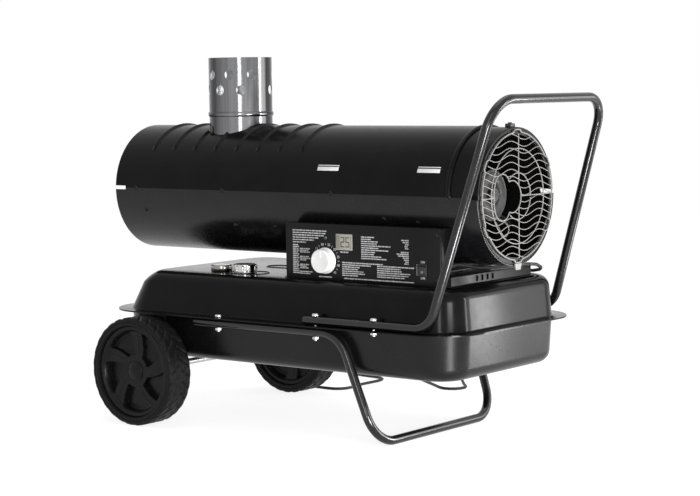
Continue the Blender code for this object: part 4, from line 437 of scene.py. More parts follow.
# The cord's route: points are (along the barrel, y, z)
CORD_FLOOR = CORD_DIAMETER / 2 + CLEARANCE / 3
CORD_ROUTE = [
    (0.7660, -0.0700, 0.3120),
    (0.7680, -0.0480, 0.3080),
    (0.7740, -0.0220, 0.3025),
    (0.7810, 0.0050, 0.3012),
    (0.7890, 0.0350, 0.3012),
    (0.7960, 0.0680, 0.3012),
    (0.8020, 0.0950, 0.3012),
    (0.8050, 0.1150, 0.2990),
    (0.8020, 0.1340, 0.2925),
    (0.7910, 0.1470, 0.2865),
    (0.7740, 0.1530, 0.2832),
    (0.7450, 0.1540, 0.2823),
    (0.6500, 0.1500, 0.2823),
    (0.5550, 0.1500, 0.2823),
    (0.5250, 0.1530, 0.2826),
    (0.5000, 0.1610, 0.2818),
    (0.4780, 0.1720, 0.2760),
    (0.4570, 0.1830, 0.2600),
    (0.4380, 0.1890, 0.2390),
    (0.4170, 0.1945, 0.2205),
    (0.3920, 0.2010, 0.2118),
    (0.3660, 0.2042, 0.2097),
    (0.3000, 0.2042, 0.2097),
    (0.2400, 0.2050, 0.2098),
    (0.2100, 0.2090, 0.2110),
    (0.1880, 0.2200, 0.2130),
    (0.1700, 0.2360, 0.2120),
    (0.1560, 0.2520, 0.2030),
    (0.1470, 0.2640, 0.1850),
    (0.1400, 0.2700, 0.1500),
    (0.1330, 0.2740, 0.0950),
    (0.1300, 0.2790, 0.0560),
    (0.1300, 0.2800, 0.0331),
    (0.1339, 0.2792, 0.0181),
    (0.1447, 0.2770, 0.0071),
    (0.1594, 0.2740, 0.0031),
    (0.1780, 0.2711, 0.0031),
    (0.1950, 0.2702, 0.0031),
    (0.2081, 0.2701, 0.0031),
    (0.2199, 0.2717, 0.0031),
    (0.2299, 0.2781, 0.0031),
    (0.2363, 0.2881, 0.0031),
    (0.2377, 0.3013, 0.0031),
    (0.2360, 0.3160, 0.0031),
    (0.2310, 0.3500, 0.0031),
    (0.2330, 0.4020, 0.0031),
    (0.2250, 0.4280, 0.0031),
    (0.2000, 0.4410, 0.0031),
    (0.1600, 0.4450, 0.0031),
    (0.1240, 0.4550, 0.0031),
    (0.1020, 0.4800, 0.0031),
    (0.1060, 0.5130, 0.0031),
    (0.1350, 0.5330, 0.0031),
    (0.1850, 0.5320, 0.0031),
    (0.2450, 0.5040, 0.0031),
    (0.3210, 0.4510, 0.0031),
    (0.3670, 0.4190, 0.0031),
    (0.3800, 0.4095, 0.0031),
    (0.3920, 0.4016, 0.0031),
    (0.4036, 0.3970, 0.0031),
    (0.4162, 0.3982, 0.0031),
    (0.4268, 0.4049, 0.0031),
    (0.4332, 0.4158, 0.0031),
    (0.4340, 0.4284, 0.0031),
    (0.4281, 0.4411, 0.0031),
    (0.4195, 0.4515, 0.0031),
    (0.4060, 0.4665, 0.0031),
    (0.3880, 0.4860, 0.0072),
    (0.3710, 0.5040, 0.0140),
    (0.3570, 0.5200, 0.0172),
    (0.3480, 0.5330, 0.0174),
]


def smooth_route(points, spacing, bend_limit=math.radians(52)):
    """A smooth curve through the route's points, with more steps on its long spans."""
    points = [Vector(point) for point in points]
    ends = [points[0] * 2 - points[1]] + points + [points[-1] * 2 - points[-2]]
    out = []
    for before, start, end, after in zip(ends, ends[1:], ends[2:], ends[3:]):
        bend = (start - before).angle(end - start, 0) + (end - start).angle(after - end, 0)
        steps = 2 if (end - start).length > spacing and bend > bend_limit else 1
        for step in range(steps):
            t = step / steps
            place = 0.5 * (start * 2 + (end - before) * t
                           + (before * 2 - start * 5 + end * 4 - after) * t ** 2
                           + (start * 3 - before - end * 3 + after) * t ** 3)
            place.z = max(place.z, CORD_FLOOR)
            out.append(place)
    out.append(points[-1])
    return out


def make_cord():
    """The mains lead, over its solid."""
    back = -BOX_FRONT + BOX_DEPTH + CLEARANCE
    exit_point = (RELIEF_ALONG, back + RELIEF_LENGTH + CLEARANCE, RELIEF_HEIGHT)
    route = [Vector((OUTLET_X + along, y, z)) for along, y, z in [exit_point] + CORD_ROUTE]
    points = smooth_route(route, CORD_DIAMETER * 3)
    curve = bpy.data.curves.new("mains_lead", "CURVE")
    curve.dimensions = "3D"
    curve.bevel_depth = CORD_DIAMETER / 2
    curve.bevel_resolution = 4
    curve.use_fill_caps = True
    spline = curve.splines.new("POLY")
    spline.points.add(len(points) - 1)
    for point, place in zip(spline.points, points):
        point.co = (*place, 1)
    spline.use_smooth = True
    lead = new_object("mains_lead", curve)
    curve.materials.append(FINISH["cord_rubber"])
    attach(lead, "heater")
    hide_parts("power_cord")
    heading = (route[-1] - route[-2]).normalized()
    ends = make_plug(route[-1] + heading * CLEARANCE, heading) + [make_relief()]


# Mesh helpers


def finished(item, finish, body="heater", nodes=(), sharp=math.radians(38)):
    """Gives a piece its finish, the body it rides on and the nodes it stands for."""
    mesh = item.data
    mesh.materials.clear()
    mesh.materials.append(FINISH[finish])
    mesh.shade_smooth()
    mesh.set_sharp_from_angle(angle=sharp)
    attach(item, body)
    if nodes:
        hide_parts(*nodes)
    return item


def from_bmesh(name, bm):
    bmesh.ops.recalc_face_normals(bm, faces=bm.faces)
    mesh = bpy.data.meshes.new(name)
    bm.to_mesh(mesh)
    bm.free()
    return new_object(name, mesh)


def skin(name, rows, closed_across=True, closed_along=False, caps=False):
    """A mesh over rows of points that all have the same count."""
    bm = bmesh.new()
    loops = [[bm.verts.new(point) for point in row] for row in rows]
    pairs = list(zip(loops, loops[1:])) + ([(loops[-1], loops[0])] if closed_along else [])
    count = len(loops[0])
    for first, second in pairs:
        for i in range(count if closed_across else count - 1):
            j = (i + 1) % count
            bm.faces.new((first[i], first[j], second[j], second[i]))
    if caps:
        bm.faces.new(loops[0])
        bm.faces.new(loops[-1])
    return from_bmesh(name, bm)


def softened(profile, radius, steps=3, closed=True):
    """A profile whose corners are rounded as far as its edges allow; corners on the axis stay."""
    out = []
    count = len(profile)
    for i, corner in enumerate(profile):
        here = Vector(corner)
        if not closed and i in (0, count - 1):
            out.append(tuple(here))
            continue
        back = Vector(profile[i - 1]) - here
        ahead = Vector(profile[(i + 1) % count]) - here
        if here.x == 0 or back.length == 0 or ahead.length == 0 or radius == 0:
            out.append(tuple(here))
            continue
        reach = min(radius, back.length * 0.45, ahead.length * 0.45)
        start = here + back.normalized() * reach
        end = here + ahead.normalized() * reach
        for step in range(steps + 1):
            t = step / steps
            out.append(tuple(start * (1 - t) ** 2 + here * 2 * t * (1 - t) + end * t ** 2))
    return out


def lathe(name, profile, place, steps=96, shape=None):
    """A closed (radius, height) profile turned about the Z axis of its place.

    shape(radius, height, angle) may move a point and gives back its radius and height.
    """
    bm = bmesh.new()
    rings = []
    for radius, height in profile:
        if radius < CLEARANCE / 30:
            rings.append([bm.verts.new(place @ Vector((0, 0, height)))])
            continue
        ring = []
        for step in range(steps):
            angle = 2 * math.pi * step / steps
            r, h = shape(radius, height, angle) if shape else (radius, height)
            ring.append(bm.verts.new(place @ Vector((r * math.cos(angle), r * math.sin(angle), h))))
        rings.append(ring)
    pairs = list(zip(rings, rings[1:]))
    if len(rings[0]) > 1 or len(rings[-1]) > 1:
        pairs.append((rings[-1], rings[0]))
    for first, second in pairs:
        for i in range(steps):
            j = (i + 1) % steps
            corners = [first[i % len(first)], first[j % len(first)], second[j % len(second)], second[i % len(second)]]
            corners = [v for k, v in enumerate(corners) if v is not corners[k - 1]]
            if len(set(corners)) > 2:
                bm.faces.new(corners)
    return from_bmesh(name, bm)


def box_points(low, high):
    low = Vector(low)
    high = Vector(high)
    return Matrix.Translation((low + high) / 2) @ Matrix.Diagonal((*(high - low), 1))


def bevelled_box(name, low, high, radius, segments=3):
    bm = bmesh.new()
    bmesh.ops.create_cube(bm, size=1, matrix=box_points(low, high))
    bmesh.ops.bevel(bm, geom=bm.edges[:], offset=radius, segments=segments, profile=0.5, affect="EDGES")
    return from_bmesh(name, bm)


def applied(item):
    """The object with its modifiers, or its curve, turned into a plain mesh."""
    graph = bpy.context.evaluated_depsgraph_get()
    mesh = bpy.data.meshes.new_from_object(item.evaluated_get(graph))
    name = item.name
    matrix = item.matrix_world.copy()
    bpy.data.objects.remove(item, do_unlink=True)
    mesh.transform(matrix)
    mesh.name = name
    return new_object(name, mesh)


def carve(item, *cutters, operation="DIFFERENCE"):
    for cutter in cutters:
        modifier = item.modifiers.new("carve", "BOOLEAN")
        modifier.operation = operation
        modifier.solver = "EXACT"
        modifier.object = cutter
    bpy.context.view_layer.update()
    out = applied(item)
    for cutter in cutters:
        bpy.data.objects.remove(cutter, do_unlink=True)
    return out


def rod_cutter(name, start, end, radius, segments=48):
    start = Vector(start)
    end = Vector(end)
    bm = bmesh.new()
    turn = (end - start).to_track_quat("Z", "Y").to_matrix().to_4x4()
    bmesh.ops.create_cone(bm, cap_ends=True, segments=segments, radius1=radius, radius2=radius,
                          depth=(end - start).length, matrix=Matrix.Translation((start + end) / 2) @ turn)
    return from_bmesh(name, bm)


def wires(name, paths, radius, resolution=3, closed=False):
    """Round bars along paths, as one mesh. A path is a list of points, or of (point, thickness share)."""
    curve = bpy.data.curves.new(name, "CURVE")
    curve.dimensions = "3D"
    curve.bevel_depth = radius
    curve.bevel_resolution = resolution
    curve.use_fill_caps = True
    for path in paths:
        spline = curve.splines.new("POLY")
        spline.points.add(len(path) - 1)
        for point, place in zip(spline.points, path):
            share = 1
            if len(place) == 2:
                place, share = place
            point.co = (*place, 1)
            point.radius = share
        spline.use_cyclic_u = closed
    item = new_object(name, curve)
    bpy.context.view_layer.update()
    return applied(item)


def joined(name, items):
    """Several meshes as one object."""
    bm = bmesh.new()
    for item in items:
        bm.from_mesh(item.data)
        bpy.data.objects.remove(item, do_unlink=True)
    mesh = bpy.data.meshes.new(name)
    bm.to_mesh(mesh)
    bm.free()
    return new_object(name, mesh)


def soften_nodes(width, *names):
    """Small round edges on solids whose shape is right."""
    for name in names:
        item = frame["nodes"][name]
        weld = item.modifiers.new("weld", "WELD")
        weld.merge_threshold = CLEARANCE / 30
        bevel = item.modifiers.new("edges", "BEVEL")
        bevel.width = width
        bevel.segments = 3
        bevel.limit_method = "ANGLE"
        bevel.angle_limit = math.radians(40)
        bevel.use_clamp_overlap = True
        item.data.shade_smooth()
        item.data.set_sharp_from_angle(angle=math.radians(38))


def smooth_step(low, high, value):
    t = min(1, max(0, (value - low) / (high - low)))
    return t * t * (3 - 2 * t)


def rounded_path(corners, radii, steps=14):
    """A polyline whose inner corners are round; each corner has its own bend radius."""
    points = [Vector(corners[0])]
    for before, corner, after, radius in zip(corners, corners[1:], corners[2:], radii):
        corner = Vector(corner)
        back = (Vector(before) - corner).normalized()
        ahead = (Vector(after) - corner).normalized()
        half = back.angle(ahead) / 2
        reach = radius / math.tan(half)
        centre = corner + (back + ahead).normalized() * radius / math.sin(half)
        start = corner + back * reach - centre
        end = corner + ahead * reach - centre
        sweep = start.angle(end)
        axis = start.cross(end)
        for i in range(steps + 1):
            points.append(centre + Matrix.Rotation(sweep * i / steps, 3, axis) @ start)
    points.append(Vector(corners[-1]))
    return points


def about_barrel(x):
    """A place on the barrel's axis whose Z points to +X."""
    return Matrix.Translation((x, 0, BARREL_HEIGHT)) @ Matrix.Rotation(math.radians(90), 4, "Y")


# Barrel
SHELL_STEPS = 96
RIB_END_RUN = 0.012
RIB_CREST = 0.92
OVERRUN = 0.004


def rib_height(x, angle):
    """The pressed ribs on the cover: creased across, and running out at both ends."""
    rest = math.pi / 2 - RIB_END_ANGLE - abs(angle - math.pi / 2)
    ends = smooth_step(0, RIB_END_RUN / BARREL_RADIUS, rest)
    for index in range(RIB_COUNT):
        off = abs(x - (OUTLET_X + LAST_RIB_ALONG - index * RIB_PITCH)) / (RIB_WIDTH / 2)
        if off < 1:
            return RIB_HEIGHT * ends * min(1 - off, RIB_CREST)
    return 0


def bead_height(x):
    """The rolled bead at the fan end of the cover."""
    off = abs(x - (OUTLET_X + COVER_LENGTH - COVER_BEAD_WIDTH / 2)) / (COVER_BEAD_WIDTH / 2)
    return COVER_BEAD_HEIGHT * math.sqrt(1 - off ** 2) if off < 1 else 0


def barrel_sheet(name, stations, start_angle, end_angle, lift=None):
    """A closed sheet about the barrel axis; its outer face may be lifted by a height function."""
    rows = []
    for step in range(SHELL_STEPS + 1):
        angle = start_angle + (end_angle - start_angle) * step / SHELL_STEPS
        outwards = Vector((0, math.cos(angle), math.sin(angle)))
        outer = []
        inner = []
        for x in stations:
            radius = BARREL_RADIUS + (lift(x, angle) if lift else 0)
            outer.append(Vector((x, 0, BARREL_HEIGHT)) + outwards * radius)
            inner.append(Vector((x, 0, BARREL_HEIGHT)) + outwards * (radius - SHEET))
        rows.append(outer + inner[::-1])
    return skin(name, rows, caps=True)


def slot_cutter(name, x):
    seam = BARREL_HEIGHT + SEAM_RISE
    reach = BARREL_RADIUS + OVERRUN
    bm = bmesh.new()
    bmesh.ops.create_cube(bm, size=1, matrix=box_points(
        (x - END_SLOT_LENGTH, -reach, seam - END_SLOT_HEIGHT / 2),
        (x + END_SLOT_LENGTH, reach, seam + END_SLOT_HEIGHT / 2)))
    return from_bmesh(name, bm)


def make_barrel():
    gap = CLEARANCE / 9 / BARREL_RADIUS
    stations = {OUTLET_X, OUTLET_X + COVER_LENGTH}
    for index in range(RIB_COUNT):
        centre = OUTLET_X + LAST_RIB_ALONG - index * RIB_PITCH
        for share in (0, 1 - RIB_CREST, (1 - RIB_CREST) * 1.3, 0.3, 0.6, 0.97, 1, 1.06):
            stations.add(centre + share * RIB_WIDTH / 2)
            stations.add(centre - share * RIB_WIDTH / 2)
    for step in range(9):
        turn = math.pi * step / 8
        stations.add(OUTLET_X + COVER_LENGTH - COVER_BEAD_WIDTH / 2 * (1 + math.cos(turn)))
    cover = barrel_sheet("barrel_cover", sorted(stations), SEAM_ANGLE + gap, math.pi - SEAM_ANGLE - gap,
                         lambda x, angle: rib_height(x, angle) + bead_height(x))
    cover = carve(cover, rod_cutter("flue_hole", (FLUE_X, 0, BARREL_HEIGHT), (FLUE_X, 0, FLUE_TOP),
                                    FLUE_RADIUS + CLEARANCE * 2, 96), slot_cutter("cover_slot", OUTLET_X))
    finished(cover, "black_paint", nodes=["upper_cover"])
    shell = barrel_sheet("barrel_shell", [OUTLET_X, INLET_X], math.pi - SEAM_ANGLE + gap,
                         2 * math.pi + SEAM_ANGLE - gap)
    shell = carve(shell, slot_cutter("shell_slot_a", OUTLET_X), slot_cutter("shell_slot_b", INLET_X))
    # The lower shell takes the lighter copy of the paint: painted sheen below the seam
    finished(shell, "shell_paint", nodes=["lower_shell"])

    outer = BARREL_RADIUS - SHEET - CLEARANCE * 2
    profile = [(outer, 0), (outer, -SHROUD_LENGTH), (outer - SHEET, -SHROUD_LENGTH), (outer - SHEET, -SHEET),
               (outer - SHROUD_LIP, -SHEET), (outer - SHROUD_LIP, 0)]
    shroud = lathe("fan_housing", softened(profile, SHEET), about_barrel(INLET_X), 128)
    shroud = carve(shroud, slot_cutter("housing_slot", INLET_X))
    finished(shroud, "black_paint", nodes=["fan_shroud"])


# Inlet guard
WIRE_STEPS = 64
GUARD_X = INLET_X + CLEARANCE + GUARD_DEPTH / 2
THIN_WIRE = 0.00075
STRONG_WIRE = 0.0010
EDGE_WIRE = 0.0013


def guard_point(across, up, proud=0):
    return Vector((GUARD_X + proud, across, BARREL_HEIGHT + up))


def in_lobe(across, up, grow):
    """Whether a place lies in one of the guard's two openings."""
    a = abs(across + GUARD_LOBE_OFFSET) / (GUARD_LOBE_HALF_WIDTH + grow)
    b = abs(up) / (GUARD_LOBE_HALF_HEIGHT + grow)
    in_eye = math.hypot(across + GUARD_EYE_OFFSET, up) < GUARD_EYE_RADIUS + grow
    return a ** 2.4 + b ** 2.4 < 1 or in_eye


def clear_runs(points):
    """The stretches of a bar that lie outside the openings."""
    runs = [[]]
    for across, up in points:
        if in_lobe(across, up, GUARD_BAND / 2) or math.hypot(across, up) > GUARD_RADIUS - GUARD_RIM / 2:
            runs.append([])
        else:
            runs[-1].append(guard_point(across, up))
    return [run for run in runs if len(run) > 1]


def ring_points(radius, offset=0, steps=WIRE_STEPS):
    return [(offset + radius * math.cos(2 * math.pi * i / steps), radius * math.sin(2 * math.pi * i / steps))
            for i in range(steps)]


def lobe_border():
    """The outer line round both openings together, as closed points."""
    points = []
    for i in range(WIRE_STEPS * 2):
        angle = 2 * math.pi * i / (WIRE_STEPS * 2)
        centre = -(GUARD_LOBE_OFFSET + GUARD_EYE_OFFSET) / 2
        low = 0
        high = GUARD_RADIUS
        for trial in range(24):
            middle = (low + high) / 2
            inside = in_lobe(centre + middle * math.cos(angle), middle * math.sin(angle), GUARD_BAND / 2)
            low, high = (middle, high) if inside else (low, middle)
        points.append((centre + low * math.cos(angle), low * math.sin(angle)))
    return points


def make_guard():
    bars = int(GUARD_RADIUS / GUARD_PITCH)
    reach = GUARD_RADIUS - GUARD_RIM / 2
    thin = []
    for index in range(-bars, bars):
        level = (index + 0.5) * GUARD_PITCH
        points = []
        for step in range(WIRE_STEPS * 2 + 1):
            across = reach * (step / WIRE_STEPS - 1)
            phase = 2 * math.pi * (across - GUARD_CREST_Y) / GUARD_WAVE
            points.append((across, level + GUARD_SWING * math.cos(phase)))
        thin += clear_runs(points)
    grille = wires("guard_waves", thin, THIN_WIRE)
    straight = [[(GUARD_UPRIGHT_Y, reach * (step / WIRE_STEPS - 1)) for step in range(WIRE_STEPS * 2 + 1)],
                [(reach * (step / WIRE_STEPS - 1), 0) for step in range(WIRE_STEPS * 2 + 1)]]
    thick = wires("guard_cross", [run for path in straight for run in clear_runs(path)], STRONG_WIRE)
    rings = []
    mid = [guard_point(*p) for p in ring_points(GUARD_MID_RADIUS)]
    hub = [point for point in clear_runs(ring_points(GUARD_HUB_RADIUS - GUARD_BAND / 2))]
    rings.append(wires("guard_mid", [mid], STRONG_WIRE, closed=True))
    rings.append(wires("guard_hub", hub, STRONG_WIRE))
    rings.append(wires("guard_lobes", [[guard_point(*p) for p in lobe_border()]], STRONG_WIRE * 1.1, closed=True))
    edge = []
    for step in range(WIRE_STEPS * 6):
        angle = 2 * math.pi * step / (WIRE_STEPS * 6)
        pitch = 2 * math.pi / GUARD_TABS
        off = abs((angle + pitch / 2 - math.pi / 2) % pitch - pitch / 2) * GUARD_RADIUS
        raised = GUARD_TAB_REACH * smooth_step(GUARD_TAB_WIDTH / 2 + GUARD_TAB_REACH, GUARD_TAB_WIDTH / 2, off)
        radius = GUARD_RADIUS - EDGE_WIRE * 1.2 + raised
        edge.append(guard_point(radius * math.cos(angle), radius * math.sin(angle)))
    rings.append(wires("guard_edge", [edge], EDGE_WIRE, closed=True))
    guard = joined("fan_guard", [grille, thick] + rings)
    finished(guard, "grey_plastic", nodes=["inlet_guard"])


# Flue


def make_flue():
    inner = FLUE_RADIUS - FLUE_WALL
    base = BARREL_HEIGHT + DRUM_RADIUS + FLUE_SOCKET
    profile = [(FLUE_RADIUS, FLUE_TOP)]
    steps = 12
    for step in range(steps + 1):
        angle = math.pi * step / steps
        profile.append((FLUE_RADIUS + FLUE_BEAD * math.sin(angle),
                        FLUE_BEAD_HEIGHT + FLUE_BEAD_WIDTH / 2 * math.cos(angle)))
    profile += [(FLUE_RADIUS, base), (inner, base), (inner, FLUE_TOP)]
    flue = lathe("flue", profile, Matrix.Translation((FLUE_X, 0, 0)), 144)
    bm = bmesh.new()
    for level, start in ((FLUE_UPPER_HOLES, FLUE_UPPER_START), (FLUE_LOWER_HOLES, FLUE_LOWER_START)):
        for index in range(FLUE_HOLES):
            angle = start + index * FLUE_HOLE_STEP
            outwards = Vector((math.cos(angle), math.sin(angle), 0))
            place = Vector((FLUE_X, 0, level)) + outwards * FLUE_RADIUS
            turn = outwards.to_track_quat("Z", "Y").to_matrix().to_4x4()
            bmesh.ops.create_cone(bm, cap_ends=True, segments=28, radius1=FLUE_HOLE_RADIUS,
                                  radius2=FLUE_HOLE_RADIUS, depth=FLUE_RADIUS / 2,
                                  matrix=Matrix.Translation(place) @ turn)
    flue = carve(flue, from_bmesh("flue_holes", bm))
    finished(flue, "stainless", nodes=["flue_pipe"], sharp=math.radians(30))
    flue.data.materials.append(FINISH["galvanised"])
    for face in flue.data.polygons:
        from_axis = face.center - Vector((FLUE_X, 0, face.center.z))
        if face.normal.dot(from_axis) < 0:
            face.material_index = 1


# Tank
CORNER_STEPS = 14
EDGE_STEPS = 9
NOSE_SLOPE = 0.052
NOSE_REACH = 0.230


def rounded_rectangle(inset, height):
    """The tank's outline at a height, drawn in from the flange edge."""
    x_low = OUTLET_X + TANK_START + inset
    x_high = OUTLET_X + TANK_START + TANK_LENGTH - inset
    half = TANK_HALF_WIDTH - inset
    corner = max(FLANGE_CORNER - inset, CLEARANCE)
    centres = ((x_high - corner, half - corner, 0), (x_low + corner, half - corner, 1),
               (x_low + corner, corner - half, 2), (x_high - corner, corner - half, 3))
    ring = []
    for centre_x, centre_y, quarter in centres:
        for step in range(CORNER_STEPS + 1):
            angle = math.pi / 2 * (quarter + step / CORNER_STEPS)
            ring.append(Vector((centre_x + corner * math.cos(angle), centre_y + corner * math.sin(angle), height)))
    return ring


def nosed(point):
    """The tank's top falls away towards the outlet end."""
    rise = smooth_step(FLANGE_TOP, TANK_TOP, point.z) * max(0, point.z - FLANGE_TOP) / (TANK_TOP - FLANGE_TOP)
    fade = smooth_step(OUTLET_X + TANK_START + NOSE_REACH, OUTLET_X + TANK_START, point.x)
    return point + Vector((NOSE_SLOPE * rise * fade, 0, 0))


def tank_half(name, flange_face, floor_face, sign, node, holes, finish, shape=None):
    """A pressed half shell with its inner face, from the flange edge up the wall to the floor."""
    outer = [(0, flange_face)]
    outer.append((FLANGE_MARGIN - TANK_DRAFT / 2, flange_face))
    for step in range(4):
        turn = math.pi / 2 * (step + 1) / 4
        outer.append((FLANGE_MARGIN - TANK_DRAFT / 2 + TANK_DRAFT / 2 * math.sin(turn),
                      flange_face + sign * TANK_DRAFT / 2 * (1 - math.cos(turn))))
    for step in range(EDGE_STEPS + 1):
        angle = math.pi / 2 * step / EDGE_STEPS
        outer.append((FLANGE_MARGIN + TANK_DRAFT + TANK_EDGE * (1 - math.cos(angle)),
                      floor_face - sign * TANK_EDGE * (1 - math.sin(angle))))
    rings = [rounded_rectangle(*place) for place in outer]
    inner = [(inset + (SHEET if i > 1 else 0), height - sign * SHEET) for i, (inset, height) in enumerate(outer)]
    rings_in = [rounded_rectangle(*place) for place in inner]
    bm = bmesh.new()
    loops = [[bm.verts.new(shape(point) if shape else point) for point in ring] for ring in rings_in[::-1] + rings]
    count = len(loops[0])
    for first, second in zip(loops, loops[1:]):
        for i in range(count):
            bm.faces.new((first[i], first[(i + 1) % count], second[(i + 1) % count], second[i]))
    bm.faces.new(loops[0])
    bm.faces.new(loops[-1])
    item = from_bmesh(name, bm)
    if holes:
        item = carve(item, *holes)
    return finished(item, finish, nodes=[node], sharp=math.radians(50))


def make_tank():
    holes = []
    for word, along, y, radius in (("filler", 0.314, -0.105, 0.0178), ("gauge", 0.258, -0.107, 0.0123)):
        x = OUTLET_X + along
        holes.append(rod_cutter(word + "_cut", (x, y, TANK_TOP - OVERRUN * 2), (x, y, TANK_TOP + OVERRUN), radius))
    tank_half("tank_top_half", FLANGE_TOP, TANK_TOP, 1, "tank_upper", holes, "tank_paint", nosed)
    # The lower half takes the lighter copy of the tank's paint: painted sheen
    tank_half("tank_bottom_half", FLANGE_UNDER, TANK_BOTTOM, -1, "tank_lower", [], "tank_low_paint")


# Handle and foot
END_ROUNDING = 5


def rounded_ends(points):
    """A tube's path with its two ends closed by round noses, as points and thickness shares."""
    out = [(point, 1) for point in points]
    for end in (0, -1):
        tip = points[end]
        inner = points[1] if end == 0 else points[-2]
        back = (inner - tip).normalized()
        nose = []
        for step in range(END_ROUNDING):
            share = (step + 0.35) / END_ROUNDING
            nose.append((tip + back * TUBE_RADIUS * 0.7 * (1 - math.sqrt(1 - (1 - share) ** 2)), share ** 0.5))
        straight = (tip + back * TUBE_RADIUS * 0.7, 1)
        if end == 0:
            out = nose + [straight] + out[1:]
        else:
            out = out[:-1] + [straight] + nose[::-1]
    return out


def mirrored(points):
    return [Vector((point.x, -point.y, point.z)) for point in map(Vector, reversed(points))]


def make_tubes():
    rail = FLANGE_TOP + CLEARANCE + TUBE_RADIUS
    near = [(OUTLET_X + HANDLE_START, -RAIL_Y, rail), (OUTLET_X + HANDLE_HEEL, -RAIL_Y, rail),
            (INLET_X + HANDLE_REACH, -HANDLE_TOP_HALF, HANDLE_HEIGHT)]
    bends = (HANDLE_HEEL_BEND, HANDLE_TOP_BEND, HANDLE_TOP_BEND, HANDLE_HEEL_BEND)
    path = rounded_ends(rounded_path(near + mirrored(near), bends))
    finished(wires("push_handle", [path], TUBE_RADIUS, 7), "gloss_tube", nodes=["handle"])
    rail = FLANGE_UNDER - CLEARANCE - TUBE_RADIUS
    near = [(OUTLET_X + FOOT_START, -RAIL_Y, rail), (OUTLET_X + FOOT_KNEE, -RAIL_Y, rail),
            (OUTLET_X + FOOT_TOE, -FOOT_TOE_HALF, TUBE_RADIUS)]
    path = rounded_ends(rounded_path(near + mirrored(near), (FOOT_BEND,) * 4))
    finished(wires("foot_tube", [path], TUBE_RADIUS, 7), "gloss_tube", nodes=["foot"])


# Wheels
SPOKE_COUNT = 5
POCKET_INNER = 0.030
POCKET_OUTER = 0.074
POCKET_DEPTH = 0.0115
POCKET_WALL = 0.0015
SPOKE_WIDTH = 0.019
SPOKE_SPREAD = 0.012
SPOKE_SWIRL = math.radians(16)
RIM_LIP = 0.006
RIM_DISH = 0.007
HUB_RADIUS = 0.024
RIDGE_HEIGHT = 0.0012
RIDGE_WIDTH = 0.0016
FACE_ROWS = 46
RIM_STEPS = 240
TREAD_DEPTH = 0.0021
NOTCH_SHARE = 0.3
TREAD_PITCHES = 28
TREAD_STEPS = TREAD_PITCHES * 14
TREAD_ROWS = 22


def pocket_depth(radius, angle):
    """How deep the swirled pockets of a rim's face are at a place."""
    pitch = 2 * math.pi / SPOKE_COUNT
    along = (radius - POCKET_INNER) / (POCKET_OUTER - POCKET_INNER)
    turn = SPOKE_SWIRL * min(1, max(0, along))
    part = ((angle - turn) % pitch) * radius
    side = min(part, pitch * radius - part) - SPOKE_WIDTH / 2 - SPOKE_SPREAD / 2 * min(1, max(0, along))
    inside = min(side, radius - POCKET_INNER, POCKET_OUTER - radius)
    floor = 1 - 0.45 * part / (pitch * radius)
    return POCKET_DEPTH * floor * smooth_step(0, POCKET_WALL, inside)


def ridge_height(radius, angle):
    """A fine ridge down the middle of each spoke."""
    pitch = 2 * math.pi / SPOKE_COUNT
    along = (radius - POCKET_INNER) / (POCKET_OUTER - POCKET_INNER)
    part = ((angle - SPOKE_SWIRL * along + pitch / 2) % pitch - pitch / 2) * radius
    ends = smooth_step(0, 0.15, along) * smooth_step(1, 0.8, along)
    return RIDGE_HEIGHT * ends * smooth_step(RIDGE_WIDTH, 0, abs(part))


def face_height(radius, hub):
    """The rim face's own profile: lip, dish and, on the inner side, a hub."""
    half = RIM_WIDTH / 2
    dish = half - RIM_DISH
    if radius > RIM_RADIUS - RIM_LIP:
        edge = smooth_step(RIM_RADIUS, RIM_RADIUS - 0.0015, radius)
        return half - 0.0008 * (1 - edge)
    height = dish + RIM_DISH * smooth_step(RIM_RADIUS - RIM_LIP - RIM_DISH, RIM_RADIUS - RIM_LIP, radius)
    if hub and radius < HUB_RADIUS:
        height += RIM_DISH * smooth_step(HUB_RADIUS, HUB_RADIUS - 0.0015, radius)
    return height


def make_rim(name, place):
    bore = AXLE_RADIUS + CLEARANCE
    radii = [bore + (RIM_RADIUS - bore) * i / FACE_ROWS for i in range(FACE_ROWS + 1)]
    rows = []
    for face in (1, -1):
        order = radii if face > 0 else radii[::-1]
        for radius in order:
            row = []
            for step in range(RIM_STEPS):
                angle = 2 * math.pi * step / RIM_STEPS
                height = face_height(radius, face < 0)
                height -= pocket_depth(radius, angle)
                height += ridge_height(radius, angle)
                row.append(place @ Vector((radius * math.cos(angle), radius * math.sin(angle), face * height)))
            rows.append(row)
    return skin(name, rows, closed_along=True)


def tread_cut(angle, across):
    """Chevron grooves in the tread: a line each way from the middle, and notches at the shoulders."""
    share = abs(across) / (WHEEL_WIDTH / 2)
    phase = (angle / (2 * math.pi) * TREAD_PITCHES + share * 1.1 + (0.5 if across < 0 else 0)) % 1
    groove = smooth_step(0.13, 0.06, min(phase, 1 - phase)) * smooth_step(0.04, 0.12, share)
    groove *= smooth_step(1.0, 0.80, share)
    ring = smooth_step(0.07, 0.03, abs(share - 0.42)) * 0.5
    notch = smooth_step(0.26, 0.18, min(phase, 1 - phase)) * smooth_step(0.72, 0.80, share)
    return TREAD_DEPTH * max(groove, ring, notch * NOTCH_SHARE)


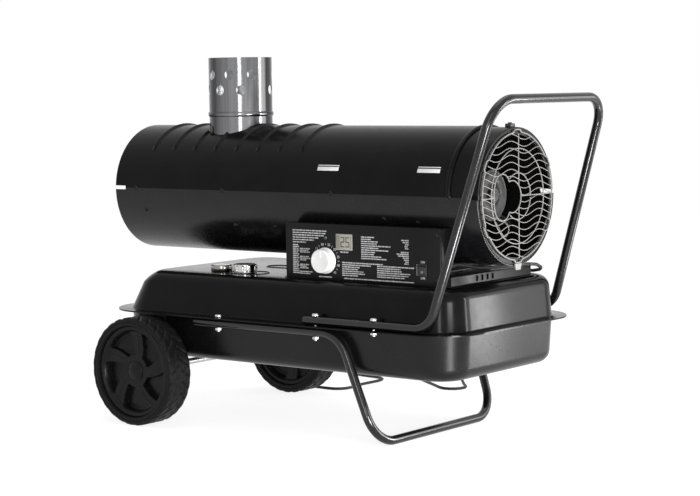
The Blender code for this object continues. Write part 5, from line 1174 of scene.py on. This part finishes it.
def make_tyre(name, place):
    inner = RIM_RADIUS + CLEARANCE
    width = WHEEL_WIDTH / 2
    rim_half = RIM_WIDTH / 2
    shoulder = 0.0045
    profile = []
    for step in range(TREAD_ROWS + 1):
        across = (width - shoulder) * (1 - 2 * step / TREAD_ROWS)
        profile.append((WHEEL_RADIUS, across, True))
    lower = [(WHEEL_RADIUS - 0.0012, width - 0.0018, True), (WHEEL_RADIUS - shoulder, width, True),
             (WHEEL_RADIUS - 0.0075, width, False), (WHEEL_RADIUS - 0.0085, width - 0.0010, False),
             (WHEEL_RADIUS - 0.0095, width, False), (inner + 0.0032, width, False), (inner + 0.0008, width - 0.0010, False),
             (inner, rim_half, False)]
    loop = [(r, -w, t) for r, w, t in lower] + [(r, w, t) for r, w, t in lower[::-1]] + profile
    rows = []
    for radius, across, cut in loop:
        row = []
        for step in range(TREAD_STEPS):
            angle = 2 * math.pi * step / TREAD_STEPS
            depth = tread_cut(angle, across) if cut else 0
            r = radius - depth
            row.append(place @ Vector((r * math.cos(angle), r * math.sin(angle), across)))
        rows.append(row)
    return skin(name, rows, closed_along=True)


def make_wheels():
    for side, word in ((-1, "near"), (1, "far")):
        body = "wheel_" + word
        turn = Matrix.Rotation(math.radians(90 if side < 0 else -90), 4, "X")
        place = Matrix.Translation((WHEEL_X, side * WHEEL_TRACK_HALF, WHEEL_RADIUS)) @ turn
        finished(make_rim("wheel_rim_" + word, place), "rim_plastic", body, ["rim_" + word])
        finished(make_tyre("wheel_tyre_" + word, place), "tyre_rubber", body, ["tyre_" + word], sharp=math.radians(50))


# Panel: everything printed on it is generic, in ruled bars and plain numbers
PRINT = 0.00015
WORD = 0.0075
WORD_GAP = 0.0011
WORD_SHARES = (0.9, 0.5, 1.3, 0.7, 1.1, 0.4, 1.0, 0.8)
SMALL_PRINT = 0.0019
KNOB_X = OUTLET_X + KNOB_ALONG
SCALE_RADIUS = 0.0287
SCALE_SWEEP = math.radians(270)
DISPLAY_X = OUTLET_X + 0.575
DISPLAY_Z = 0.348
DISPLAY_FACE = PANEL_FACE - 0.0015
DIGIT_TALL = 0.0160
DIGIT_WIDE = 0.0085
DIGIT_STROKE = 0.0019
SWITCH_X = OUTLET_X + 0.742
SWITCH_Z = 0.307
LAMP_X = OUTLET_X + 0.533
LAMP_Z = 0.354


def facing_near(x, y, z):
    """A place whose Z points to the near side and whose Y points up."""
    return Matrix.Translation((x, y, z)) @ Matrix.Rotation(math.radians(90), 4, "X")


def bars(name, boxes, finish, slot, face=PANEL_FACE, body="heater"):
    """Thin printed bars on a face, each as (x, z, length, height) from its left end and middle height."""
    bm = bmesh.new()
    for x, z, length, height in boxes:
        bmesh.ops.create_cube(bm, size=1, matrix=box_points((x, face - PRINT, z - height / 2),
                                                            (x + length, face + PRINT, z + height / 2)))
    return finished(from_bmesh(name, bm), finish, body)


def ruled(x, z, lengths, pitch, height=SMALL_PRINT, right=False):
    """Lines of short dashes that stand for small print, one line for each length."""
    boxes = []
    turn = 0
    for row, length in enumerate(lengths):
        start = x - length if right else x
        end = start + length
        while start < end - WORD / 5:
            word = min(WORD * WORD_SHARES[turn % len(WORD_SHARES)], end - start)
            boxes.append((start, z - row * pitch, word, height))
            start += word + WORD_GAP
            turn += 1
    return boxes


def characters(name, marks, size, finish, place_of, body="heater"):
    """Plain numbers and switch words, as (text, place on the face)."""
    items = []
    for index, (word, *where) in enumerate(marks):
        curve = bpy.data.curves.new("%s_%d" % (name, index), "FONT")
        curve.body = word
        curve.size = size
        curve.extrude = PRINT
        curve.align_x = "CENTER"
        curve.align_y = "CENTER"
        item = new_object("%s_%d" % (name, index), curve)
        item.matrix_world = place_of(*where)
        bpy.context.view_layer.update()
        items.append(applied(item))
    return finished(joined(name, items), finish, body)


def digit_bars(digit, x, z):
    """The lit bars of a seven-bar digit."""
    half = DIGIT_TALL / 2
    wide = DIGIT_WIDE
    thick = DIGIT_STROKE
    lies = {"a": (x, z + half, wide, thick), "g": (x, z, wide, thick), "d": (x, z - half, wide, thick),
            "f": (x, z + half / 2, thick, half * 0.8), "b": (x + wide - thick, z + half / 2, thick, half * 0.8),
            "e": (x, z - half / 2, thick, half * 0.8), "c": (x + wide - thick, z - half / 2, thick, half * 0.8)}
    lit = {"2": "abged", "5": "afgcd", "0": "abcdef"}[digit]
    return [lies[bar] for bar in lit]


def make_panel():
    small = ruled(0.0005, 0.3655, (0.076, 0.074, 0.070, 0.060, 0.048, 0.030), 0.0042)
    small += ruled(0.0005, 0.3395, (0.014,) * 16, 0.0033)
    for z, lengths in ((0.3330, (0.024, 0.019, 0.022)), (0.3190, (0.020, 0.023, 0.016)), (0.3050, (0.020, 0.017, 0.019))):
        small += ruled(0.0165, z, lengths, 0.0030)
    small += ruled(0.0150, 0.2925, (0.030, 0.024), 0.0032)
    small += ruled(0.0590, 0.2855, (0.031,), 0.0032)
    small += ruled(0.1070, 0.3305, (0.018,), 0.0032)
    small += ruled(0.1530, 0.3585, (0.028, 0.021, 0.036, 0.034, 0.064, 0.037, 0.058, 0.030, 0.028, 0.043, 0.054), 0.0037)
    small += ruled(0.2540, 0.3560, (0.015, 0.012, 0.007, 0.008, 0.007), 0.0035, right=True)
    small += ruled(0.2540, 0.3355, (0.016, 0.025, 0.022, 0.012), 0.0032, right=True)
    small += ruled(0.2540, 0.3225, (0.010, 0.007, 0.009), 0.0032, right=True)
    small += ruled(0.1110, 0.3125, (0.088, 0.062, 0.038, 0.036, 0.046, 0.050, 0.034), 0.0037)
    small += ruled(0.1870, 0.3095, (0.078, 0.050, 0.052, 0.070, 0.066, 0.058), 0.0037)
    small += ruled(0.1150, 0.2850, (0.150,), 0.0032)
    small += [(0.2705, 0.2985 + step * 0.0022, 0.0012, 0.0012) for step in range(9)]
    bars("panel_print", small, "print_white", "white_plastic")

    ticks = []
    numbers = []
    for step in range(19):
        turn = SCALE_SWEEP * (step / 18 - 0.5)
        out = Vector((math.sin(turn), math.cos(turn)))
        if step % 2 == 1:
            ticks.append((out, turn, 0.0034))
        else:
            spot = out * SCALE_RADIUS
            numbers.append((str(step // 2 * 5), KNOB_X + spot.x, KNOB_HEIGHT + spot.y))
    bm = bmesh.new()
    for out, turn, long in ticks:
        middle = out * SCALE_RADIUS
        place = (facing_near(KNOB_X + middle.x, PANEL_FACE, KNOB_HEIGHT + middle.y)
                 @ Matrix.Rotation(-turn, 4, "Z") @ Matrix.Diagonal((0.0008, long, PRINT * 2, 1)))
        bmesh.ops.create_cube(bm, size=1, matrix=place)
    finished(from_bmesh("scale_ticks", bm), "print_white")
    characters("scale_numbers", numbers, 0.0066, "print_white",
               lambda x, z: facing_near(x, PANEL_FACE, z))
    characters("switch_words", [("ON", SWITCH_X, SWITCH_Z + 0.0135), ("OFF", SWITCH_X, SWITCH_Z - 0.0140)],
               0.0055, "print_white", lambda x, z: facing_near(x, PANEL_FACE, z))

    ink = digit_bars("2", DISPLAY_X - 0.0075, DISPLAY_Z) + digit_bars("5", DISPLAY_X + 0.0035, DISPLAY_Z)
    for x in (-0.0160, -0.0135, -0.0110, 0.0150):
        ink.append((DISPLAY_X + x, DISPLAY_Z, 0.0009, 0.0230))
    bars("display_digits", ink, "display_ink", "switch_black", DISPLAY_FACE)

    dome = [(0, 0.0018), (0.0012, 0.0016), (0.0022, 0.0010), (0.0027, 0), (0.0027, -0.0024), (0, -0.0024)]
    place = facing_near(LAMP_X, PANEL_FACE, LAMP_Z)
    finished(lathe("lamp_dome", dome, place, 48), "lamp_green", nodes=["status_lamp"])
    collar = softened([(0.0028, -0.0003), (0.0028, 0.0005), (0.0040, 0.0005), (0.0040, -0.0003)], 0.0002)
    finished(lathe("lamp_collar", collar, place, 48), "switch_black")

    rocker = frame["nodes"]["power_rocker"].data
    proud = min(rocker.vertices, key=lambda v: v.co.y).co
    side = 1 if proud.z > SWITCH_Z else -1
    pivot = facing_near(SWITCH_X, PANEL_FACE + 0.003, SWITCH_Z) @ Matrix.Rotation(-side * math.radians(6), 4, "X")
    characters("rocker_marks", [("I", 0.0038), ("O", -0.0038)], 0.0055, "print_white",
               lambda up: pivot @ Matrix.Translation((0, up, 0.0055)), "rocker")


def make_knob():
    """A turned cap with fine grip flutes, a skirt and a raised pointer."""
    back = 0.0003
    deep = 0.0170
    side = KNOB_RADIUS - 0.0022

    def fluted(radius, height, angle):
        grip = smooth_step(back + 0.0035, back + 0.005, height) * smooth_step(deep - 0.001, deep - 0.003, height)
        wave = 0.5 + 0.5 * math.cos(angle * 36)
        return (radius - 0.0005 * wave * grip if radius > side - 0.002 else radius), height

    profile = [(0, deep - 0.0006), (side - 0.006, deep - 0.0004), (side - 0.0035, deep)]
    profile += [(side - 0.0022 + 0.0022 * math.sin(t), deep - 0.0022 + 0.0022 * math.cos(t))
                for t in [math.pi / 2 * i / 6 for i in range(7)]]
    profile += [(side + 0.0004, back + 0.005), (side + 0.0005, back + 0.0032), (KNOB_RADIUS - 0.0004, back + 0.0026),
                (KNOB_RADIUS, back + 0.0020), (KNOB_RADIUS, back + 0.0004), (KNOB_RADIUS - 0.0004, back),
                (0.003, back), (0.003, -0.0117), (0, -0.0117)]
    place = facing_near(KNOB_X, PANEL_FACE, KNOB_HEIGHT)
    cap = lathe("knob_cap", profile, place, 216, fluted)
    bm = bmesh.new()
    bmesh.ops.create_cube(bm, size=1, matrix=place @ box_points((-0.0011, 0.006, deep - 0.0012),
                                                                (0.0011, KNOB_RADIUS - 0.0045, deep + 0.0002)))
    bmesh.ops.bevel(bm, geom=bm.edges[:], offset=0.0004, segments=2, profile=0.5, affect="EDGES")
    cap = joined("knob_cap", [cap, from_bmesh("knob_line", bm)])
    finished(cap, "white_plastic", "knob", ["thermostat_knob"])


# Small fasteners
SCREW_RADIUS = 0.0042
SCREW_HEIGHT = 0.0021


def screws(name, places, finish, body="heater"):
    """Pan-head screws with a crossed recess, one at each place, whose Z points out."""
    head = [(0, SCREW_HEIGHT), (SCREW_RADIUS * 0.55, SCREW_HEIGHT * 0.93), (SCREW_RADIUS * 0.85, SCREW_HEIGHT * 0.65),
            (SCREW_RADIUS, SCREW_HEIGHT * 0.15), (SCREW_RADIUS, -CLEARANCE), (0, -CLEARANCE)]
    template = lathe("screw_head", head, Matrix(), 28)
    long = SCREW_RADIUS * 0.6
    thin = SCREW_RADIUS * 0.13
    crossed = []
    for wide, deep in ((long, thin), (thin, long)):
        bm = bmesh.new()
        bmesh.ops.create_cube(bm, size=1, matrix=box_points((-wide, -deep, SCREW_HEIGHT * 0.4),
                                                            (wide, deep, SCREW_HEIGHT * 2)))
        crossed.append(from_bmesh("screw_slot", bm))
    template = carve(template, *crossed)
    bm = bmesh.new()
    for place in places:
        first = len(bm.verts)
        bm.from_mesh(template.data)
        bm.verts.ensure_lookup_table()
        bmesh.ops.transform(bm, matrix=place, verts=bm.verts[first:])
    bpy.data.objects.remove(template, do_unlink=True)
    return finished(from_bmesh(name, bm), finish, body)


def on_barrel(along, degrees, side=-1, radius=BARREL_RADIUS):
    """A place on the barrel's wall whose Z points out and whose X points along it."""
    angle = math.radians(degrees)
    out = Vector((0, side * math.cos(angle), math.sin(angle)))
    across = out.cross(Vector((1, 0, 0)))
    turn = Matrix((Vector((1, 0, 0)), across, out)).transposed().to_4x4()
    return Matrix.Translation(Vector((OUTLET_X + along, 0, BARREL_HEIGHT)) + out * radius) @ turn


def plates(name, boxes, radius, finish, body="heater"):
    """Small bevelled plates, each as (place, low corner, high corner)."""
    bm = bmesh.new()
    for place, low, high in boxes:
        made = bmesh.ops.create_cube(bm, size=1, matrix=place @ box_points(low, high))
        edges = list({edge for vert in made["verts"] for edge in vert.link_edges})
        bmesh.ops.bevel(bm, geom=edges, offset=radius, segments=2, profile=0.5, affect="EDGES")
    return finished(from_bmesh(name, bm), finish, body)


def make_fasteners():
    seam = [on_barrel(along, 1.5, side) for along in (0.053, 0.273, 0.528, 0.781) for side in (-1, 1)]
    low = [on_barrel(along, degrees, side) for side in (-1, 1)
           for along, degrees in ((0.073, -19), (0.291, -31), (0.387, -31), (0.640, -19), (0.711, -21))]
    screws("seam_screws", seam + low, "motor_paint")
    panel = [facing_near(x, -BOX_FRONT, z) for x, z in ((-0.0090, 0.3620),)]
    panel += [facing_near(0.3115, PANEL_FACE, 0.2900), facing_near(0.3115, PANEL_FACE, 0.3670)]
    screws("panel_screws", panel, "motor_paint")
    stripes = []
    for along in (0.516, 0.7335):
        for degrees, half in ((22.7, 0.0036), (25.8, 0.0007)):
            stripes.append((on_barrel(along, degrees), (-0.0235, -half, -PRINT), (0.0235, half, PRINT)))
    plates("barrel_stripes", stripes, PRINT / 2, "white_plastic")
    top = Matrix.Translation((OUTLET_X + 0.826, 0, BARREL_HEIGHT + BARREL_RADIUS - SHEET * 2))
    block = [(top, (-0.006, -0.007, 0), (0.006, 0.007, 0.0065)), (top, (-0.003, -0.003, 0), (0.003, 0.003, 0.0085))]
    plates("shroud_clip", block, 0.0008, "switch_black")
    tab = (Matrix.Translation((FLUE_X, 0, 0.538)) @ Matrix.Rotation(math.radians(-118), 4, "Z")
           @ Matrix.Translation((FLUE_RADIUS, 0, 0)))
    plates("flue_tab", [(tab, (-0.0002, -0.006, -0.006), (0.0022, 0.006, 0.008)),
                        (tab, (0.0015, -0.003, -0.002), (0.0058, 0.003, 0.004))], 0.0006, "hot_steel")


# Filler and gauge
FILLER = Vector((OUTLET_X + 0.314, -0.105, TANK_TOP))
GAUGE = Vector((OUTLET_X + 0.258, -0.107, TANK_TOP))
CAP_R = 0.0223
CAP_LOW = 0.0024
CAP_HIGH = 0.0161


def make_filler():
    place = Matrix.Translation(FILLER)

    def fluted(radius, height, angle):
        if radius < CAP_R - 0.0025 or not CAP_LOW + 0.0012 < height < CAP_HIGH - 0.0018:
            return radius, height
        return radius - 0.0014 * smooth_step(0.55, 1, math.cos(angle * 12)), height

    levels = [CAP_LOW + 0.0012 + (CAP_HIGH - CAP_LOW - 0.003) * i / 8 for i in range(9)]
    profile = [(0, CAP_HIGH - 0.0010), (CAP_R - 0.0048, CAP_HIGH - 0.0010), (CAP_R - 0.0044, CAP_HIGH - 0.0003),
               (CAP_R - 0.0036, CAP_HIGH), (CAP_R - 0.0018, CAP_HIGH), (CAP_R - 0.0006, CAP_HIGH - 0.0006)]
    profile += [(CAP_R, height) for height in levels[::-1]]
    profile += [(CAP_R, CAP_LOW), (CAP_R - 0.0028, CAP_LOW), (CAP_R - 0.0028, CAP_HIGH - 0.0030), (0, CAP_HIGH - 0.0030)]
    finished(lathe("cap_shell", profile, place, 240, fluted), "chrome", "cap", ["fuel_cap"])
    insert = softened([(0, CAP_HIGH - 0.0002), (CAP_R - 0.0052, CAP_HIGH - 0.0002), (CAP_R - 0.0052, CAP_HIGH - 0.0009),
                       (0, CAP_HIGH - 0.0009)], 0.0003)
    finished(lathe("cap_insert", insert, place, 72), "switch_black", "cap")
    neck = softened([(0.0175, 0.0105), (0.0175, 0.0021), (0.0215, 0.0021), (0.0215, 0.0003), (0.0175, 0.0003),
                     (0.0175, -0.012), (0.0155, -0.012), (0.0155, 0.0105)], 0.0004)
    finished(lathe("filler_throat", neck, place, 96), "zinc", nodes=["filler_neck"])
    beads = []
    for offset, reach, width in (((0.010, 0), 0.034, 0.022), ((0.085, 0.070), 0.036, 0.010), ((0.010, 0.120), 0.050, 0.016)):
        oval = []
        for step in range(48):
            turn = 2 * math.pi * step / 48
            reach_x = (reach - width) * (1 if math.cos(turn) > 0 else -1)
            oval.append(FILLER + Vector((offset[0] + reach_x + width * math.cos(turn) * 1.25,
                                         offset[1] + width * math.sin(turn) * 1.25, -0.0004)))
        beads.append(oval)
    finished(wires("tank_beads", beads, 0.0016, 3, closed=True), "tank_paint")


def make_gauge():
    place = Matrix.Translation(GAUGE)
    rim = 0.012
    dial = rim - 0.004
    body = [(0, dial), (0.0168, dial), (0.0170, dial + 0.0002), (0.0170, rim - 0.0004), (0.0174, rim), (0.0186, rim),
            (0.0196, rim - 0.0007), (0.0200, rim - 0.0018), (0.0200, 0.0012), (0.0194, 0.0003), (0.012, 0.0003),
            (0.012, -0.012), (0, -0.012)]
    finished(lathe("gauge_case", body, place, 120), "worn_chrome", nodes=["fuel_gauge"])
    disc = [(0, dial + 0.0002), (0.0166, dial + 0.0002), (0.0166, dial), (0, dial)]
    finished(lathe("gauge_dial", disc, place, 72), "dial_white")
    bm = bmesh.new()
    for step in range(5):
        turn = Matrix.Rotation(math.radians(45) * (step / 2 - 1), 4, "Z")
        length = 0.0034 if step % 2 == 0 else 0.0022
        low = (0.0158 - length, -0.0004, dial + 0.0002)
        bmesh.ops.create_cube(bm, size=1, matrix=place @ turn @ box_points(low, (0.0158, 0.0004, dial + 0.00028)))
    finished(from_bmesh("gauge_ticks", bm), "switch_black")
    lies = place @ Matrix.Translation((0, 0, dial + 0.0002)) @ Matrix.Rotation(math.radians(-90), 4, "Z")
    characters("gauge_numbers", [("0", -0.0095, 0.0070), ("1", 0.0095, 0.0070)], 0.0050, "switch_black",
               lambda x, y: lies @ Matrix.Translation((x, y, -PRINT * 0.5)))


# Fan and motor
FAN_MIDDLE = INLET_X - 0.165
BLADE_STATIONS = 12
CHORD_STEPS = 10
FAN_REACH = 0.1044


def make_fan():
    rows_of = []
    root = 0.0235
    for index in range(5):
        phi = 2 * math.pi * index / 5
        out = Vector((0, math.cos(phi), math.sin(phi)))
        side = Vector((0, -math.sin(phi), math.cos(phi)))
        rows = []
        for station in range(BLADE_STATIONS + 1):
            share = station / BLADE_STATIONS
            radius = root + (FAN_REACH - root) * share
            chord = 0.034 + 0.028 * smooth_step(0, 0.75, share)
            chord *= math.sqrt(max(0.04, 1 - smooth_step(0.72, 1.02, share) * 0.96))
            pitch = math.radians(34 - 5 * share)
            along = side * math.cos(pitch) + Vector((1, 0, 0)) * math.sin(pitch)
            normal = Vector((1, 0, 0)) * math.cos(pitch) - side * math.sin(pitch)
            upper = []
            lower = []
            for step in range(CHORD_STEPS + 1):
                u = 2 * step / CHORD_STEPS - 1
                arch = 0.0045 * (1 - u * u) - 0.0022
                half = 0.0008 * math.sqrt(max(0.1, 1 - u ** 4))
                middle = Vector((FAN_MIDDLE, 0, BARREL_HEIGHT)) + out * radius + along * u * chord / 2
                upper.append(middle + normal * (arch + half))
                lower.append(middle + normal * (arch - half))
            rows.append(upper + lower[::-1])
        rows_of.append(skin("fan_blade_%d" % index, rows, caps=True))
    half = 0.015
    hub = softened([(0.0053, half), (0.012, half), (0.013, half - 0.003), (0.0215, half - 0.003), (0.026, half - 0.006),
                    (0.026, -half), (0.0053, -half)], 0.0008)
    rows_of.append(lathe("fan_hub", hub, about_barrel(FAN_MIDDLE), 96))
    finished(joined("fan_wheel", rows_of), "cast_aluminium", "fan_rotor", ["fan"])


def make_motor():
    back = INLET_X - 0.052
    radius = 0.040
    bell = 0.0455
    profile = [(0, 0.0075), (0.0130, 0.0075), (0.0140, 0.0066), (0.0140, 0.0030), (0.0190, 0.0010), (0.0300, 0.0004),
               (0.0390, 0.0020), (0.0425, 0.0034), (0.0445, 0.0030), (bell, 0.0012), (bell, -0.0120),
               (bell - 0.0010, -0.0128), (radius, -0.0130), (radius, -0.0300),
               (radius - 0.0007, -0.0304), (radius - 0.0007, -0.0320), (radius, -0.0324), (radius, -0.0680),
               (radius - 0.0007, -0.0684), (radius - 0.0007, -0.0700), (radius, -0.0704), (radius, -0.0830),
               (radius - 0.003, -0.0860), (0.0053, -0.0860), (0.0053, -0.0640), (0, -0.0640)]
    finished(lathe("motor_case", profile, about_barrel(back), 120), "motor_paint", nodes=["motor"])
    lead = [(0.350, 0.006, 0.3554), (0.350, 0.011, 0.3560), (0.350, 0.0155, 0.3585), (0.350, 0.0190, 0.3625),
            (0.350, 0.0205, 0.3670), (0.350, 0.0190, 0.3735)]
    inner = [(0.335, 0.004, 0.3800), (0.342, 0.002, 0.3700), (0.348, 0.002, 0.3610)]
    tail = [(0.346, 0.0165, 0.3790), (0.338, 0.0120, 0.3850), (0.328, 0.0080, 0.3890)]
    finished(wires("motor_lead", [inner + lead + tail], 0.0011, 4), "grey_plastic")


# Lead and its ends
RELIEF_RIBS = 6


def make_relief():
    back = -BOX_FRONT + BOX_DEPTH + CLEARANCE
    place = (Matrix.Translation((OUTLET_X + RELIEF_ALONG, back, RELIEF_HEIGHT))
             @ Matrix.Rotation(math.radians(-90), 4, "X"))
    profile = [(0, RELIEF_LENGTH), (0.0040, RELIEF_LENGTH), (0.0045, RELIEF_LENGTH - 0.0005)]
    for rib in range(RELIEF_RIBS):
        share = rib / RELIEF_RIBS
        radius = 0.0047 + 0.0016 * share
        height = RELIEF_LENGTH - 0.0008 - rib * 0.0031
        profile += [(radius, height), (radius, height - 0.0018), (radius - 0.0010, height - 0.0021),
                    (radius - 0.0010, height - 0.0028)]
    profile += [(0.0065, 0.0030), (0.0065, 0), (0.0045, 0), (0.0045, -0.006), (0, -0.006)]
    return finished(lathe("relief_sleeve", profile, place, 48), "cord_rubber", nodes=["strain_relief"])


def make_plug(tip, heading):
    """The plug's ribbed grip and its two pins, on the cord's far end."""
    turn = heading.to_track_quat("Z", "Y").to_matrix().to_4x4()
    place = Matrix.Translation(tip) @ turn
    profile = [(0, 0), (0.0030, 0), (0.0040, 0.0020)]
    for rib in range(4):
        radius = 0.0048 + 0.0016 * rib
        height = 0.0035 + rib * 0.0036
        profile += [(radius, height), (radius + 0.0003, height + 0.0018), (radius - 0.0010, height + 0.0022),
                    (radius - 0.0008, height + 0.0030)]
    profile += [(0.0120, 0.0195), (0.0150, 0.0245), (0.0166, 0.0300), (0.0170, 0.0320), (0.0170, 0.0450),
                (0.0163, 0.0458), (0.0163, 0.0470), (0.0170, 0.0478), (0.0170, 0.0530), (0.0162, 0.0540), (0, 0.0540)]
    grip = finished(lathe("plug_grip", profile, place, 96), "cord_rubber", nodes=["plug"])
    side = heading.cross(Vector((0, 0, 1))).normalized()
    pins = []
    for offset in (-0.0095, 0.0095):
        start = tip + heading * 0.0535 + side * offset
        pins.append([(start, 1), (start + heading * 0.0180, 1), (start + heading * 0.0189, 0.8),
                     (start + heading * 0.0194, 0.45)])
    both = finished(wires("plug_prongs", pins, 0.0024, 4), "zinc")
    return [grip, both]


def make_hub_caps():
    for side, word in ((-1, "near"), (1, "far")):
        turn = Matrix.Rotation(math.radians(90 if side < 0 else -90), 4, "X")
        place = Matrix.Translation((WHEEL_X, side * 0.2383, WHEEL_RADIUS)) @ turn
        profile = [(0, 0.0059), (0.0060, 0.0056), (0.0110, 0.0048), (0.0150, 0.0034), (0.0175, 0.0018), (0.0190, 0.0006),
                   (0.0190, 0), (0, 0)]
        finished(lathe("hub_dome_" + word, profile, place, 96), "rim_plastic", "wheel_" + word, ["hub_cap_" + word])


make_camera()
make_light()
make_floor()
make_finishes()
make_cord()
make_barrel()
make_guard()
make_flue()
make_tank()
make_tubes()
make_wheels()
make_panel()
make_knob()
make_fasteners()
make_filler()
make_gauge()
make_fan()
make_motor()
make_hub_caps()
soften_nodes(0.0012, "control_box")
soften_nodes(0.0005, "control_panel", "switch_frame", "display_window", "guard_clip", "power_rocker",
             "axle_bracket_near", "axle_bracket_far", "saddle_fan", "saddle_outlet", "axle", "motor_mount")
soften_nodes(0.0006, "foot_bolt_near", "foot_bolt_far", "shared_bolt_near", "shared_bolt_far",
             "handle_bolt_near", "handle_bolt_far")
